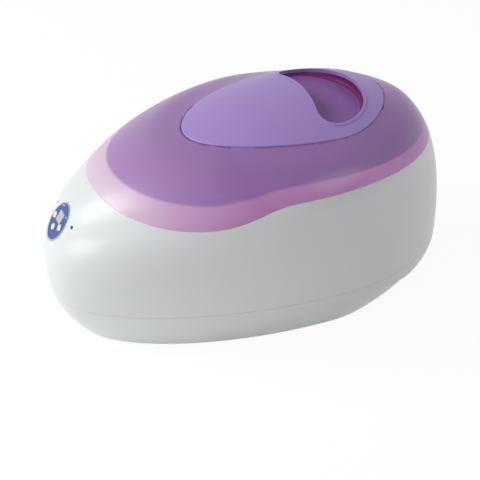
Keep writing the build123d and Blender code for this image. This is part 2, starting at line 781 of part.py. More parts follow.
# Bottom shell: belly, stepped-in plinth, lip that fits inside the upper housing, wells for the screws
with BuildPart() as bottom_shell:
    add(outer_form)
    split(bisect_by=Plane.XY.offset(SEAM_HEIGHT - SEAM_GAP), keep=Keep.BOTTOM)
    add(space_above(PLINTH_EDGE), mode=Mode.INTERSECT)
    add(plinth_form(SEAM_HEIGHT - SEAM_GAP))
    add(body_form(PLINTH_STEP + HOUSING_WALL, floor_top, SEAM_HEIGHT), mode=Mode.SUBTRACT)
    add(body_form(HOUSING_WALL + FIT_GAP, SEAM_HEIGHT - LIP_DEPTH, SEAM_HEIGHT + LIP_HEIGHT))
    lip_low = SEAM_HEIGHT - LIP_DEPTH - CUT_MARGIN
    lip_high = SEAM_HEIGHT + LIP_HEIGHT + CUT_MARGIN
    add(body_form(HOUSING_WALL + FIT_GAP + LIP_WALL, lip_low, lip_high), mode=Mode.SUBTRACT)
    for side in (-1, 1):
        with BuildSketch(Plane.XY.offset(SEAM_HEIGHT - SEAM_GAP)):
            with Locations((side * REAR_POST_X, REAR_POST_Y)):
                Rectangle(
                    2 * RIB_LENGTH,
                    RIB_THICKNESS + 2 * RUN_GAP,
                    align=(Align.MIN if side > 0 else Align.MAX, Align.CENTER),
                )
        extrude(amount=2 * LIP_HEIGHT, mode=Mode.SUBTRACT)
    wells = front_posts + rear_posts
    add(rods(wells, WELL_RADIUS, UNDERSIDE, SEAM_HEIGHT))
    add(rods(wells, WELL_BORE_RADIUS, UNDERSIDE, WELL_SEAT_HEIGHT), mode=Mode.SUBTRACT)
    add(rods(wells, SCREW_CLEARANCE_RADIUS, WELL_SEAT_HEIGHT, SEAM_HEIGHT), mode=Mode.SUBTRACT)
    add(rods(power_boss_places, POWER_BOSS_RADIUS, UNDERSIDE + CUT_MARGIN, POWER_BOARD_HEIGHT))
    bore_end = POWER_BOARD_HEIGHT - SMALL_SCREW_LENGTH
    add(rods(power_boss_places, screw_bore, bore_end, POWER_BOARD_HEIGHT), mode=Mode.SUBTRACT)
    foot_list = list(foot_places.values())
    add(rods(foot_list, FOOT_RADIUS + RUN_GAP, UNDERSIDE, UNDERSIDE + FOOT_RECESS), mode=Mode.SUBTRACT)
    add(rods(foot_list, FOOT_STEM_RADIUS + FIT_GAP, UNDERSIDE, floor_top), mode=Mode.SUBTRACT)
save(bottom_shell, "bottom_shell")

# Four push-in rubber feet
for name, place in foot_places.items():
    with BuildPart() as foot:
        add(rods([place], FOOT_RADIUS, 0, UNDERSIDE + FOOT_RECESS))
        fillet(foot.edges().filter_by(GeomType.CIRCLE).sort_by(Axis.Z)[0], radius=FOOT_EDGE_RADIUS)
        add(rods([place], FOOT_STEM_RADIUS, UNDERSIDE + FOOT_RECESS, floor_top + RUN_GAP))
        with Locations((place[0], place[1], floor_top + RUN_GAP)):
            Cone(
                FOOT_STEM_RADIUS + 2 * FIT_GAP,
                FOOT_STEM_RADIUS / 2,
                FOOT_BARB_HEIGHT,
                align=(Align.CENTER, Align.CENTER, Align.MIN),
            )
    save(foot, name)

# Screws up through the wells into the upper housing's posts
with BuildPart() as base_screws:
    for x, y in front_posts + rear_posts:
        add(screw(x, y, WELL_SEAT_HEIGHT, SCREW_RADIUS, SCREW_HEAD_RADIUS, SCREW_HEAD_HEIGHT, SCREW_LENGTH))
save(base_screws, "base_screws")

# Tank: a drawn aluminium tub with a flange that hangs on the shelf
with BuildPart() as tank_room:
    loft(
        sections=[tank_outline(-TANK_TAPER - TANK_WALL, tank_floor), tank_outline(-TANK_WALL, flange_top)],
        ruled=True,
    )
    fillet(tank_room.edges().group_by(Axis.Z)[0], radius=TANK_BOTTOM_RADIUS - TANK_WALL)

with BuildPart() as tank:
    loft(sections=[tank_outline(-TANK_TAPER, tank_underside), tank_outline(0, flange_top)], ruled=True)
    fillet(tank.edges().group_by(Axis.Z)[0], radius=TANK_BOTTOM_RADIUS)
    add(column(tank_outline(FLANGE_WIDTH), flange_under, flange_top))
    add(tank_room.part, mode=Mode.SUBTRACT)
    add(rods(tank_screw_places, SMALL_SCREW_RADIUS + FIT_GAP, flange_under, flange_top), mode=Mode.SUBTRACT)
save(tank, "tank")

# Silicone seal between the flange and the shelf
with BuildPart() as tank_seal:
    add(column(tank_outline(SEAL_INSET + SEAL_WIDTH), SHELF_TOP, flange_under))
    add(column(tank_outline(SEAL_INSET), SHELF_TOP, flange_under), mode=Mode.SUBTRACT)
save(tank_seal, "tank_seal")

# Screws that hold the flange down on the shelf
with BuildPart() as tank_screws:
    add(rods(tank_screw_places, SMALL_SCREW_HEAD_RADIUS, flange_top, flange_top + SMALL_SCREW_HEAD_HEIGHT))
    add(rods(tank_screw_places, SMALL_SCREW_RADIUS, flange_top - TANK_SCREW_LENGTH, flange_top))
save(tank_screws, "tank_screws")

# Slotted grate that keeps hands and feet off the tank's hot floor
grate_low = tank_floor + GRATE_LEG_HEIGHT
grate_shrink = -TANK_TAPER - TANK_WALL - GRATE_MARGIN
with BuildPart() as tank_grate:
    add(column(tank_outline(grate_shrink), grate_low, grate_low + GRATE_THICKNESS))
    slot_room = tank_outline(grate_shrink - GRATE_RIM).face()
    corner_x = GRATE_SLOT_LENGTH / 2
    corner_y = GRATE_SLOT_WIDTH / 2
    columns = int(TANK_HALF_WIDTH / GRATE_SLOT_PITCH_X)
    rows = int(TANK_REAR / GRATE_SLOT_PITCH_Y)
    grate_slots = []
    for column_index in range(-columns, columns + 1):
        for row_index in range(-rows, rows + 1):
            x = column_index * GRATE_SLOT_PITCH_X
            y = TANK_WIDEST_Y + row_index * GRATE_SLOT_PITCH_Y
            corners = [Vector(x + i * corner_x, y + j * corner_y) for i in (-1, 1) for j in (-1, 1)]
            if all(slot_room.is_inside(corner) for corner in corners):
                grate_slots.append((x, y))
    with BuildSketch(Plane.XY.offset(grate_low)):
        with Locations(*grate_slots):
            Rectangle(GRATE_SLOT_LENGTH, GRATE_SLOT_WIDTH)
    extrude(amount=GRATE_THICKNESS, mode=Mode.SUBTRACT)
    leg_line = tank_outline(-TANK_TAPER - TANK_BOTTOM_RADIUS - GRATE_LEG_RADIUS).wire()
    leg_stations = [leg_line @ ((turn + 0.5) / GRATE_LEG_COUNT) for turn in range(GRATE_LEG_COUNT)]
    leg_places = [(station.X, station.Y) for station in leg_stations]
    add(rods(leg_places, GRATE_LEG_RADIUS, tank_floor + FIT_GAP, grate_low))
save(tank_grate, "tank_grate")

# Heat spreader under the tank, with four welded studs
with BuildPart() as heater_plate:
    add(column(tank_outline(-TANK_TAPER - HEATER_INSET), spreader_under, tank_underside))
    add(rods(stud_places, STUD_RADIUS, stud_end, spreader_under))
save(heater_plate, "heater_plate")

# Tubular heating element pressed against the spreader
with BuildPart() as heating_element:
    add(
        cable(
            ELEMENT_RADIUS,
            (-ELEMENT_TERMINAL_X, ELEMENT_FRONT_Y, element_level),
            (-ELEMENT_TERMINAL_X, ELEMENT_FRONT_Y + ELEMENT_STRAIGHT, element_level),
            (-ELEMENT_HALF_WIDTH, ELEMENT_FRONT_Y + ELEMENT_FRONT_SPREAD, element_level),
            (-ELEMENT_HALF_WIDTH, ELEMENT_REAR_Y - ELEMENT_REAR_SPREAD, element_level),
            (0, ELEMENT_REAR_Y + ELEMENT_OVERSHOOT, element_level),
            (ELEMENT_HALF_WIDTH, ELEMENT_REAR_Y - ELEMENT_REAR_SPREAD, element_level),
            (ELEMENT_HALF_WIDTH, ELEMENT_FRONT_Y + ELEMENT_FRONT_SPREAD, element_level),
            (ELEMENT_TERMINAL_X, ELEMENT_FRONT_Y + ELEMENT_STRAIGHT, element_level),
            (ELEMENT_TERMINAL_X, ELEMENT_FRONT_Y, element_level),
        )
    )
save(heating_element, "heating_element")

# Ceramic ends of the element, where the leads are crimped on
with BuildPart() as heater_terminals:
    with BuildSketch(Plane.XZ.offset(-ELEMENT_FRONT_Y)):
        with Locations((-ELEMENT_TERMINAL_X, element_level), (ELEMENT_TERMINAL_X, element_level)):
            Circle(TERMINAL_RADIUS)
    extrude(amount=TERMINAL_LENGTH)
save(heater_terminals, "heater_terminals")

# Mineral wool pad under the element
with BuildPart() as insulation_pad:
    add(column(tank_outline(-TANK_TAPER - HEATER_INSET), shield_top, pad_top))
    add(rods(stud_places, STUD_RADIUS + RUN_GAP, shield_top, pad_top), mode=Mode.SUBTRACT)
save(insulation_pad, "insulation_pad")

# Steel shield that clamps the pad and the element up against the spreader
with BuildPart() as heat_shield:
    add(column(tank_outline(-TANK_TAPER - HEATER_INSET + SHIELD_MARGIN), shield_under, shield_top))
    add(rods(stud_places, STUD_RADIUS + FIT_GAP, shield_under, shield_top), mode=Mode.SUBTRACT)
save(heat_shield, "heat_shield")

# Nuts on the studs
with BuildPart() as heater_nuts:
    with BuildSketch(Plane.XY.offset(shield_under - NUT_HEIGHT)):
        with Locations(*stud_places):
            RegularPolygon(NUT_SIZE / 2, 6, major_radius=False)
            Circle(STUD_RADIUS + CLOSE_GAP, mode=Mode.SUBTRACT)
    extrude(amount=NUT_HEIGHT)
save(heater_nuts, "heater_nuts")

# Temperature sensor and thermal fuse, both held against the spreader
with BuildPart() as temperature_sensor:
    with BuildSketch(Plane.XY.offset(spreader_under - SENSOR_HEIGHT)):
        with Locations((0, SENSOR_Y)):
            RectangleRounded(SENSOR_WIDTH, SENSOR_LENGTH, SENSOR_CORNER)
    extrude(amount=SENSOR_HEIGHT)
save(temperature_sensor, "temperature_sensor")

with BuildPart() as thermal_fuse:
    with BuildSketch(Plane.XZ.offset(-SENSOR_Y + FUSE_LENGTH / 2)):
        with Locations((FUSE_X, spreader_under - FUSE_RADIUS - CLOSE_GAP)):
            Circle(FUSE_RADIUS)
    extrude(amount=-FUSE_LENGTH)
save(thermal_fuse, "thermal_fuse")

# Power board on its bosses
with BuildPart() as power_board:
    with BuildSketch(Plane.XY.offset(POWER_BOARD_HEIGHT)):
        with Locations((0, power_board_y)):
            RectangleRounded(2 * POWER_BOARD_HALF_WIDTH, power_board_length, POWER_BOARD_CORNER)
        with Locations(*power_boss_places):
            Circle(SMALL_SCREW_RADIUS + FIT_GAP, mode=Mode.SUBTRACT)
    extrude(amount=BOARD_THICKNESS)
save(power_board, "power_board")

with BuildPart() as power_board_screws:
    head_top = power_board_top + SMALL_SCREW_HEAD_HEIGHT
    add(rods(power_boss_places, SMALL_SCREW_HEAD_RADIUS, power_board_top, head_top))
    add(rods(power_boss_places, SMALL_SCREW_RADIUS, power_board_top - SMALL_SCREW_LENGTH, power_board_top))
save(power_board_screws, "power_board_screws")


def board_part(x, y, width, length, height):
    """A block that stands on the power board."""
    with BuildPart() as block:
        with BuildSketch(Plane.XY.offset(power_board_top)):
            with Locations((x, y)):
                RectangleRounded(width, length, COMPONENT_CORNER)
        extrude(amount=height)
    return block.part


with BuildPart() as transformer:
    add(board_part(*TRANSFORMER_PLACE, *TRANSFORMER_SIZE))
save(transformer, "transformer")

with BuildPart() as heater_relay:
    add(board_part(*RELAY_PLACE, *RELAY_SIZE))
save(heater_relay, "heater_relay")

with BuildPart() as terminal_block:
    add(board_part(*TERMINAL_PLACE, *TERMINAL_SIZE))
save(terminal_block, "terminal_block")

# Mains inlet: a shrouded socket that snaps into the rear wall
with BuildPart() as power_inlet:
    add(inlet_block(INLET_WIDTH, INLET_TALL, INLET_CORNER / 2, 0, INLET_FLANGE))
    add(inlet_block(INLET_BODY_WIDTH, INLET_BODY_TALL, INLET_BODY_CORNER, -INLET_BODY_DEPTH, 0))
    socket_floor = INLET_FLANGE - INLET_SOCKET_DEPTH
    add(
        inlet_block(INLET_SOCKET_WIDTH, INLET_SOCKET_TALL, INLET_CORNER, socket_floor, INLET_FLANGE),
        mode=Mode.SUBTRACT,
    )
    with BuildSketch(inlet_plane.offset(-INLET_BODY_DEPTH)):
        with Locations(*pin_places):
            Rectangle(PIN_THICKNESS, PIN_WIDTH)
    extrude(amount=INLET_BODY_DEPTH, mode=Mode.SUBTRACT)
    catch_face = inlet_face - HOUSING_WALL - RUN_GAP
    catch_length = INLET_CATCH_SLOPE * INLET_CATCH
    for side in (-1, 1):
        with BuildSketch(Plane.XY.offset(INLET_HEIGHT - INLET_CATCH_WIDTH / 2)):
            Polygon(
                (side * (INLET_BODY_WIDTH / 2 - INLET_CATCH_ROOT), catch_face),
                (side * (INLET_BODY_WIDTH / 2 + INLET_CATCH), catch_face),
                (side * (INLET_BODY_WIDTH / 2 - INLET_CATCH_ROOT), catch_face - catch_length),
                align=None,
            )
        extrude(amount=INLET_CATCH_WIDTH)
save(power_inlet, "power_inlet")

with BuildPart() as inlet_pins:
    with BuildSketch(inlet_plane.offset(-INLET_BODY_DEPTH - PIN_TAIL)):
        with Locations(*pin_places):
            Rectangle(PIN_THICKNESS, PIN_WIDTH)
    extrude(amount=INLET_BODY_DEPTH + PIN_TAIL - PIN_SETBACK)
save(inlet_pins, "inlet_pins")

# Control panel: bezel, label, display window, three buttons and two indicator lenses
with BuildPart() as control_bezel:
    add(panel_oval(BEZEL_HALF_WIDTH, BEZEL_HALF_LENGTH, -BEZEL_SEAT, BEZEL_RISE))
    bezel_top = control_bezel.faces().sort_by(Axis(panel_origin, panel.z_dir))[-1]
    fillet(bezel_top.edges(), radius=BEZEL_EDGE_RADIUS)
    label_half_width = BEZEL_HALF_WIDTH - BEZEL_RIM
    label_half_length = BEZEL_HALF_LENGTH - BEZEL_RIM
    label_seat = BEZEL_RISE - LABEL_SINK
    add(panel_oval(label_half_width, label_half_length, label_seat, PANEL_CUT_TOP), mode=Mode.SUBTRACT)
    window_room = DISPLAY_WIDTH + 2 * FIT_GAP
    add(
        panel_block(
            DISPLAY_X, DISPLAY_Y, window_room, window_room, -BEZEL_SEAT, PANEL_CUT_TOP, DISPLAY_CORNER
        ),
        mode=Mode.SUBTRACT,
    )
    button_bore = BUTTON_RADIUS + RUN_GAP
    add(panel_rods(button_places.values(), button_bore, -BEZEL_SEAT, PANEL_CUT_TOP), mode=Mode.SUBTRACT)
    hook_share = BEZEL_HOOK_WIDTH / 2 / (BEZEL_HALF_WIDTH - BEZEL_LEDGE)
    hook_reach = (BEZEL_HALF_LENGTH - BEZEL_LEDGE) * sqrt(1 - hook_share**2)
    for end in (-1, 1):
        hook_y = end * (hook_reach - FIT_GAP - BEZEL_HOOK_THICKNESS / 2)
        catch_y = hook_y + end * BEZEL_HOOK_CATCH
        add(
            panel_block(
                0, hook_y, BEZEL_HOOK_WIDTH, BEZEL_HOOK_THICKNESS, -PANEL_BLOCK_DEPTH - RUN_GAP, -BEZEL_SEAT
            )
        )
        add(
            panel_block(
                0,
                catch_y,
                BEZEL_HOOK_WIDTH,
                BEZEL_HOOK_THICKNESS,
                -PANEL_BLOCK_DEPTH - RUN_GAP - BEZEL_HOOK_CATCH,
                -PANEL_BLOCK_DEPTH - RUN_GAP,
            )
        )
save(control_bezel, "control_bezel")

with BuildPart() as control_label:
    add(
        panel_oval(
            label_half_width - FIT_GAP,
            label_half_length - FIT_GAP,
            label_top - LABEL_THICKNESS,
            label_top,
        )
    )
    add(
        panel_block(
            DISPLAY_X, DISPLAY_Y, window_room, window_room, -CUT_MARGIN, CUT_MARGIN, DISPLAY_CORNER
        ),
        mode=Mode.SUBTRACT,
    )
    add(panel_rods(button_places.values(), button_bore, -CUT_MARGIN, CUT_MARGIN), mode=Mode.SUBTRACT)
save(control_label, "control_label")

with BuildPart() as display_window:
    add(
        panel_block(
            DISPLAY_X, DISPLAY_Y, DISPLAY_WIDTH, DISPLAY_WIDTH, window_under, label_top, DISPLAY_CORNER
        )
    )
save(display_window, "display_window")

for name, place in button_places.items():
    with BuildPart() as button:
        add(panel_rods([place], BUTTON_RADIUS, button_flange_top, button_top))
        fillet(
            button.faces().sort_by(Axis(panel_origin, panel.z_dir))[-1].edges(), radius=BUTTON_EDGE_RADIUS
        )
        flange_low = button_flange_top - BUTTON_FLANGE_THICKNESS
        add(panel_rods([place], BUTTON_FLANGE_RADIUS, flange_low, button_flange_top))
        add(panel_rods([place], BUTTON_STEM_RADIUS, button_end, button_flange_top))
    save(button, name)

for name, place in {"lens_left": lamp_places[0], "lens_right": lamp_places[1]}.items():
    with BuildPart() as lens:
        add(panel_rods([place], LAMP_RADIUS, board_top + LED_HEIGHT + RUN_GAP, PANEL_CUT_TOP))
        add(outer_form, mode=Mode.INTERSECT)
    save(lens, name)

# Control board with what it carries
with BuildPart() as control_board:
    add(
        panel_block(
            0, 0, CONTROL_BOARD_WIDTH, CONTROL_BOARD_LENGTH, board_under, board_top, CONTROL_BOARD_CORNER
        )
    )
    add(panel_rods(board_bosses, SMALL_SCREW_RADIUS + FIT_GAP, board_under, board_top), mode=Mode.SUBTRACT)
save(control_board, "control_board")

with BuildPart() as control_board_screws:
    head_low = board_under - SMALL_SCREW_HEAD_HEIGHT
    add(panel_rods(board_bosses, SMALL_SCREW_HEAD_RADIUS, head_low, board_under))
    add(panel_rods(board_bosses, SMALL_SCREW_RADIUS, board_under, board_under + SMALL_SCREW_LENGTH))
save(control_board_screws, "control_board_screws")

with BuildPart() as display_module:
    module_width = DISPLAY_WIDTH - 2 * DISPLAY_MARGIN
    add(
        panel_block(
            DISPLAY_X, DISPLAY_Y, module_width, module_width, board_top, window_under - CLOSE_GAP
        )
    )
save(display_module, "display_module")

with BuildPart() as tact_switches:
    for x, y in button_places.values():
        add(panel_block(x, y, SWITCH_BODY, SWITCH_BODY, board_top, board_top + SWITCH_HEIGHT))
    add(panel_rods(button_places.values(), SWITCH_PLUNGER_RADIUS, board_top + SWITCH_HEIGHT, switch_top))
save(tact_switches, "tact_switches")

with BuildPart() as indicator_leds:
    add(panel_rods(lamp_places, LED_RADIUS, board_top, board_top + LED_HEIGHT))
save(indicator_leds, "indicator_leds")

# Lid: thin dome with a sunk seat for the handle plate and a cup for the fingers
recess_floor = PLATE_CROWN_HEIGHT - GRIP_DEPTH
pocket_drop = PLATE_THICKNESS + PLATE_SEAT_GAP
sky = CROWN_HEIGHT + GRIP_DEPTH
with BuildPart() as plate_seat_space:
    add(column(plate_outline(PLATE_EDGE_GAP), SHELF_TOP, sky))
    add(crown_form(pocket_drop), mode=Mode.SUBTRACT)
with BuildPart() as plate_seat_wall:
    add(column(plate_outline(PLATE_EDGE_GAP + LID_WALL), SHELF_TOP, sky))
    add(crown_form(pocket_drop + LID_WALL), mode=Mode.SUBTRACT)
with BuildPart() as lid_room:
    add(body_form(LID_WALL, min(z for y, z in LID_EDGE) - LID_WALL, SECTION_HEIGHTS[-1]))
    add(plate_seat_wall.part, mode=Mode.SUBTRACT)
with BuildPart() as recess_room:
    add(column(recess_outline(), recess_floor, sky))
    fillet(recess_room.faces().sort_by(Axis.Z)[0].edges(), radius=GRIP_FLOOR_RADIUS)
with BuildPart() as recess_cup:
    add(column(recess_outline(GRIP_WALL), recess_floor - GRIP_WALL, sky))
    fillet(recess_cup.faces().sort_by(Axis.Z)[0].edges(), radius=GRIP_FLOOR_RADIUS + GRIP_WALL)

with BuildPart() as lid:
    add(outer_form)
    add(space_above(LID_EDGE, LID_SEAT_GAP), mode=Mode.INTERSECT)
    add(lid_room.part, mode=Mode.SUBTRACT)
    add(recess_cup.part)
    for x, y in lid_screw_places:
        boss_low = crown_height(x, y) - pocket_drop - LID_BOSS_HEIGHT
        add(rods([(x, y)], LID_BOSS_RADIUS, boss_low, CROWN_HEIGHT))
    add(plate_seat_space.part, mode=Mode.SUBTRACT)
    add(recess_room.part, mode=Mode.SUBTRACT)
    add(rods(lid_screw_places, HANDLE_POST_RADIUS + FIT_GAP, SHELF_TOP, CROWN_HEIGHT), mode=Mode.SUBTRACT)
save(lid, "lid")

# Handle plate let into the crown, with its finger opening and a bead around it
with BuildPart() as bead:
    add(column(grip_outline(BEAD_WIDTH), SHELF_TOP, sky))
    add(crown_form(-BEAD_RISE), mode=Mode.INTERSECT)
    add(crown_form(PLATE_THICKNESS / 2), mode=Mode.SUBTRACT)

with BuildPart() as lid_handle:
    add(column(plate_outline(), SHELF_TOP, sky))
    add(crown_form(), mode=Mode.INTERSECT)
    fillet(plate_top_edges(lid_handle), radius=PLATE_EDGE_RADIUS)
    add(crown_form(PLATE_THICKNESS), mode=Mode.SUBTRACT)
    add(bead.part)
    add(column(grip_outline(), SHELF_TOP, sky), mode=Mode.SUBTRACT)
    for x, y in lid_screw_places:
        post_low = crown_height(x, y) - pocket_drop - LID_BOSS_HEIGHT + FIT_GAP
        add(rods([(x, y)], HANDLE_POST_RADIUS, post_low, crown_height(x, y) - PLATE_THICKNESS / 2))
        add(
            rods([(x, y)], screw_bore, post_low, post_low + LID_BOSS_HEIGHT - CUT_MARGIN),
            mode=Mode.SUBTRACT,
        )
save(lid_handle, "lid_handle")

with BuildPart() as lid_screws:
    for x, y in lid_screw_places:
        seat = crown_height(x, y) - pocket_drop - LID_BOSS_HEIGHT
        length = LID_BOSS_HEIGHT - 2 * CUT_MARGIN
        add(
            screw(x, y, seat, SMALL_SCREW_RADIUS, LID_SCREW_HEAD_RADIUS, SMALL_SCREW_HEAD_HEIGHT, length)
        )
save(lid_screws, "lid_screws")

# Mains flex from the inlet, round the tank on the right, to the terminal block
terminal_top = power_board_top + TERMINAL_SIZE[2]
terminal_rear = TERMINAL_PLACE[1] + TERMINAL_SIZE[1] / 2
pin_end = inlet_face - INLET_BODY_DEPTH - PIN_TAIL - RUN_GAP
flex_level = floor_top + RUN_GAP + MAINS_FLEX_RADIUS
with BuildPart() as mains_flex:
    add(
        cable(
            MAINS_FLEX_RADIUS,
            (0, pin_end, INLET_HEIGHT - PIN_LIFT),
            (2, pin_end - 9, INLET_HEIGHT - 6),
            (8, 152, 44),
            (24, 147, 26),
            (46, 132, 12),
            (66, 107, flex_level + 1),
            (78, 70, flex_level),
            (77, 30, flex_level),
            (71, -10, flex_level),
            (57, -40, flex_level),
            (36, -54, 11),
            (16, -61, 15),
            (9, terminal_rear + 11, 19),
            (9, terminal_rear + RUN_GAP, 19),
        )
    )
save(mains_flex, "mains_flex")

# Leads from the terminal block up to the two ends of the element
terminal_y = ELEMENT_FRONT_Y - TERMINAL_LENGTH
with BuildPart() as heater_leads:
    for side in (-1, 1):
        x = side * ELEMENT_TERMINAL_X
        add(
            cable(
                HEATER_LEAD_RADIUS,
                (x, terminal_y - RUN_GAP, element_level),
                (x, terminal_y - 7.5, element_level - 1),
                (x, TERMINAL_PLACE[1], element_level - 8),
                (x, TERMINAL_PLACE[1], terminal_top + RUN_GAP),
            )
        )
save(heater_leads, "heater_leads")

# Lead of the temperature sensor, between the spreader and the pad
sensor_level = spreader_under - SENSOR_HEIGHT / 2
with BuildPart() as sensor_lead:
    add(
        cable(
            SENSOR_LEAD_RADIUS,
            (0, SENSOR_Y - SENSOR_LENGTH / 2 - RUN_GAP, sensor_level),
            (1.5, 2, sensor_level - 0.2),
            (-1.5, -32, sensor_level - 0.4),
            (1, -64, sensor_level - 0.6),
            (0, TERMINAL_PLACE[1] + 4, sensor_level - 3),
            (0, TERMINAL_PLACE[1] - 1.5, sensor_level - 12),
            (0, TERMINAL_PLACE[1], terminal_top + RUN_GAP),
        )
    )
save(sensor_lead, "sensor_lead")

# Lead from the control board down to the power board
board_exit = panel.from_local_coords(Vector(0, -9, board_under - RUN_GAP))
board_turn = panel.from_local_coords(Vector(0, -9, board_under - 10))
with BuildPart() as display_lead:
    add(
        cable(
            DISPLAY_LEAD_RADIUS,
            board_exit,
            board_turn,
            (0, board_turn.Y + 10, board_turn.Z - 15),
            (1, board_turn.Y + 15, 62),
            (0, board_turn.Y + 21, 43),
            (0, POWER_BOARD_FRONT_Y + 5, 27),
            (0, POWER_BOARD_FRONT_Y + 8, power_board_top + RUN_GAP),
        )
    )
save(display_lead, "display_lead")
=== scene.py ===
"""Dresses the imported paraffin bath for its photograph.

The CAD nodes give every shape. This script smooths the large moulded shells onto their exact form,
adds the printed panel details and the recessed screw heads, gives every piece its finish, and sets
up light and camera.
"""

from __future__ import annotations

import json
import logging
import math
from dataclasses import dataclass, field
from enum import Enum
from functools import partial
from typing import Any, Callable, Sequence

import bmesh
import bpy
import numpy as np
from mathutils import Matrix, Vector

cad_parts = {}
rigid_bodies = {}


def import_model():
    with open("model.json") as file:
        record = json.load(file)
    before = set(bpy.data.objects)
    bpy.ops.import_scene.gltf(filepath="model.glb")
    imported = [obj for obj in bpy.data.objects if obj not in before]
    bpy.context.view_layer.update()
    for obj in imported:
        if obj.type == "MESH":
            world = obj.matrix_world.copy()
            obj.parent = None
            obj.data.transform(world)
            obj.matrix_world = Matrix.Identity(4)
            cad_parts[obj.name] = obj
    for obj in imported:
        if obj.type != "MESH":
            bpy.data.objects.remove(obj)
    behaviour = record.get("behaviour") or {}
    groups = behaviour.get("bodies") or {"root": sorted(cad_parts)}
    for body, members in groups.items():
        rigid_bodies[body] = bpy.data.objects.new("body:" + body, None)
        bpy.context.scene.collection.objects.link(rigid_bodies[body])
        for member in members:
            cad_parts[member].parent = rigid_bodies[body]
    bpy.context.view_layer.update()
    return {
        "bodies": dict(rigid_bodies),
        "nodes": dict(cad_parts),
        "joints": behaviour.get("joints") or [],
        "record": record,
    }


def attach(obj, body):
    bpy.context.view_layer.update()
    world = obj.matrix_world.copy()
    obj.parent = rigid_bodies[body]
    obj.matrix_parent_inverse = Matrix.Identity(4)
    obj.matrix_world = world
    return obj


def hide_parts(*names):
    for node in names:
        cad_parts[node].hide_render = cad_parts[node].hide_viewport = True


MM = 0.001
PHOTO_PIXELS = 480
MERGE_DISTANCE = 1e-6
TINY = 1e-9
PIECE_SHARP_ANGLE = 40.0

Tree = bpy.types.NodeTree
Socket = bpy.types.NodeSocket
Work = bmesh.types.BMesh
Array = np.ndarray
Stops = tuple[tuple[float, str], ...]
Pairs = tuple[tuple[float, float], ...]
log = logging.getLogger("paraffin_bath")


class Body(Enum):
    """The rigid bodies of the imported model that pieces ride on."""

    HOUSING = "housing"
    LID = "lid"
    RIGHT_BUTTON = "button_right"


class Moulding(Enum):
    """The three large mouldings that follow the body's form."""

    UPPER = "upper"
    BASE = "base"
    LID = "lid"


class Grain(Enum):
    """How a surface was made, as the stretch of its pattern along X, Y and Z."""

    MOULDED = (1.0, 1.0, 1.0)
    DRAWN = (1.0, 1.0, 0.06)
    FIBROUS = (0.25, 1.0, 1.0)


def linear(code: str) -> tuple[float, float, float, float]:
    """Turns an sRGB hex colour into Blender's linear colour, by the standard's own formula.

    Args:
        code: The colour as "#RRGGBB".

    Returns:
        Red, green, blue and an alpha of 1, linear.
    """
    shares = [int(code[start : start + 2], 16) / 255 for start in (1, 3, 5)]
    red, green, blue = (
        share / 12.92 if share <= 0.04045 else ((share + 0.055) / 1.055) ** 2.4 for share in shares
    )
    return red, green, blue, 1.0


def add_node(
    tree: Tree, kind: str, inputs: dict[str | int, Any] | None = None, **settings: Any
) -> bpy.types.Node:
    """Adds one node with its settings, values and links.

    Args:
        tree: The node tree that gets the node.
        kind: The node's type name.
        inputs: For each input, by name or number, the socket that feeds it or its plain value.
        **settings: The node's own properties.

    Returns:
        The new node.
    """
    node = tree.nodes.new(kind)
    for name, value in settings.items():
        setattr(node, name, value)
    for name, value in (inputs or {}).items():
        if isinstance(value, Socket):
            tree.links.new(value, node.inputs[name])
        else:
            node.inputs[name].default_value = value
    return node


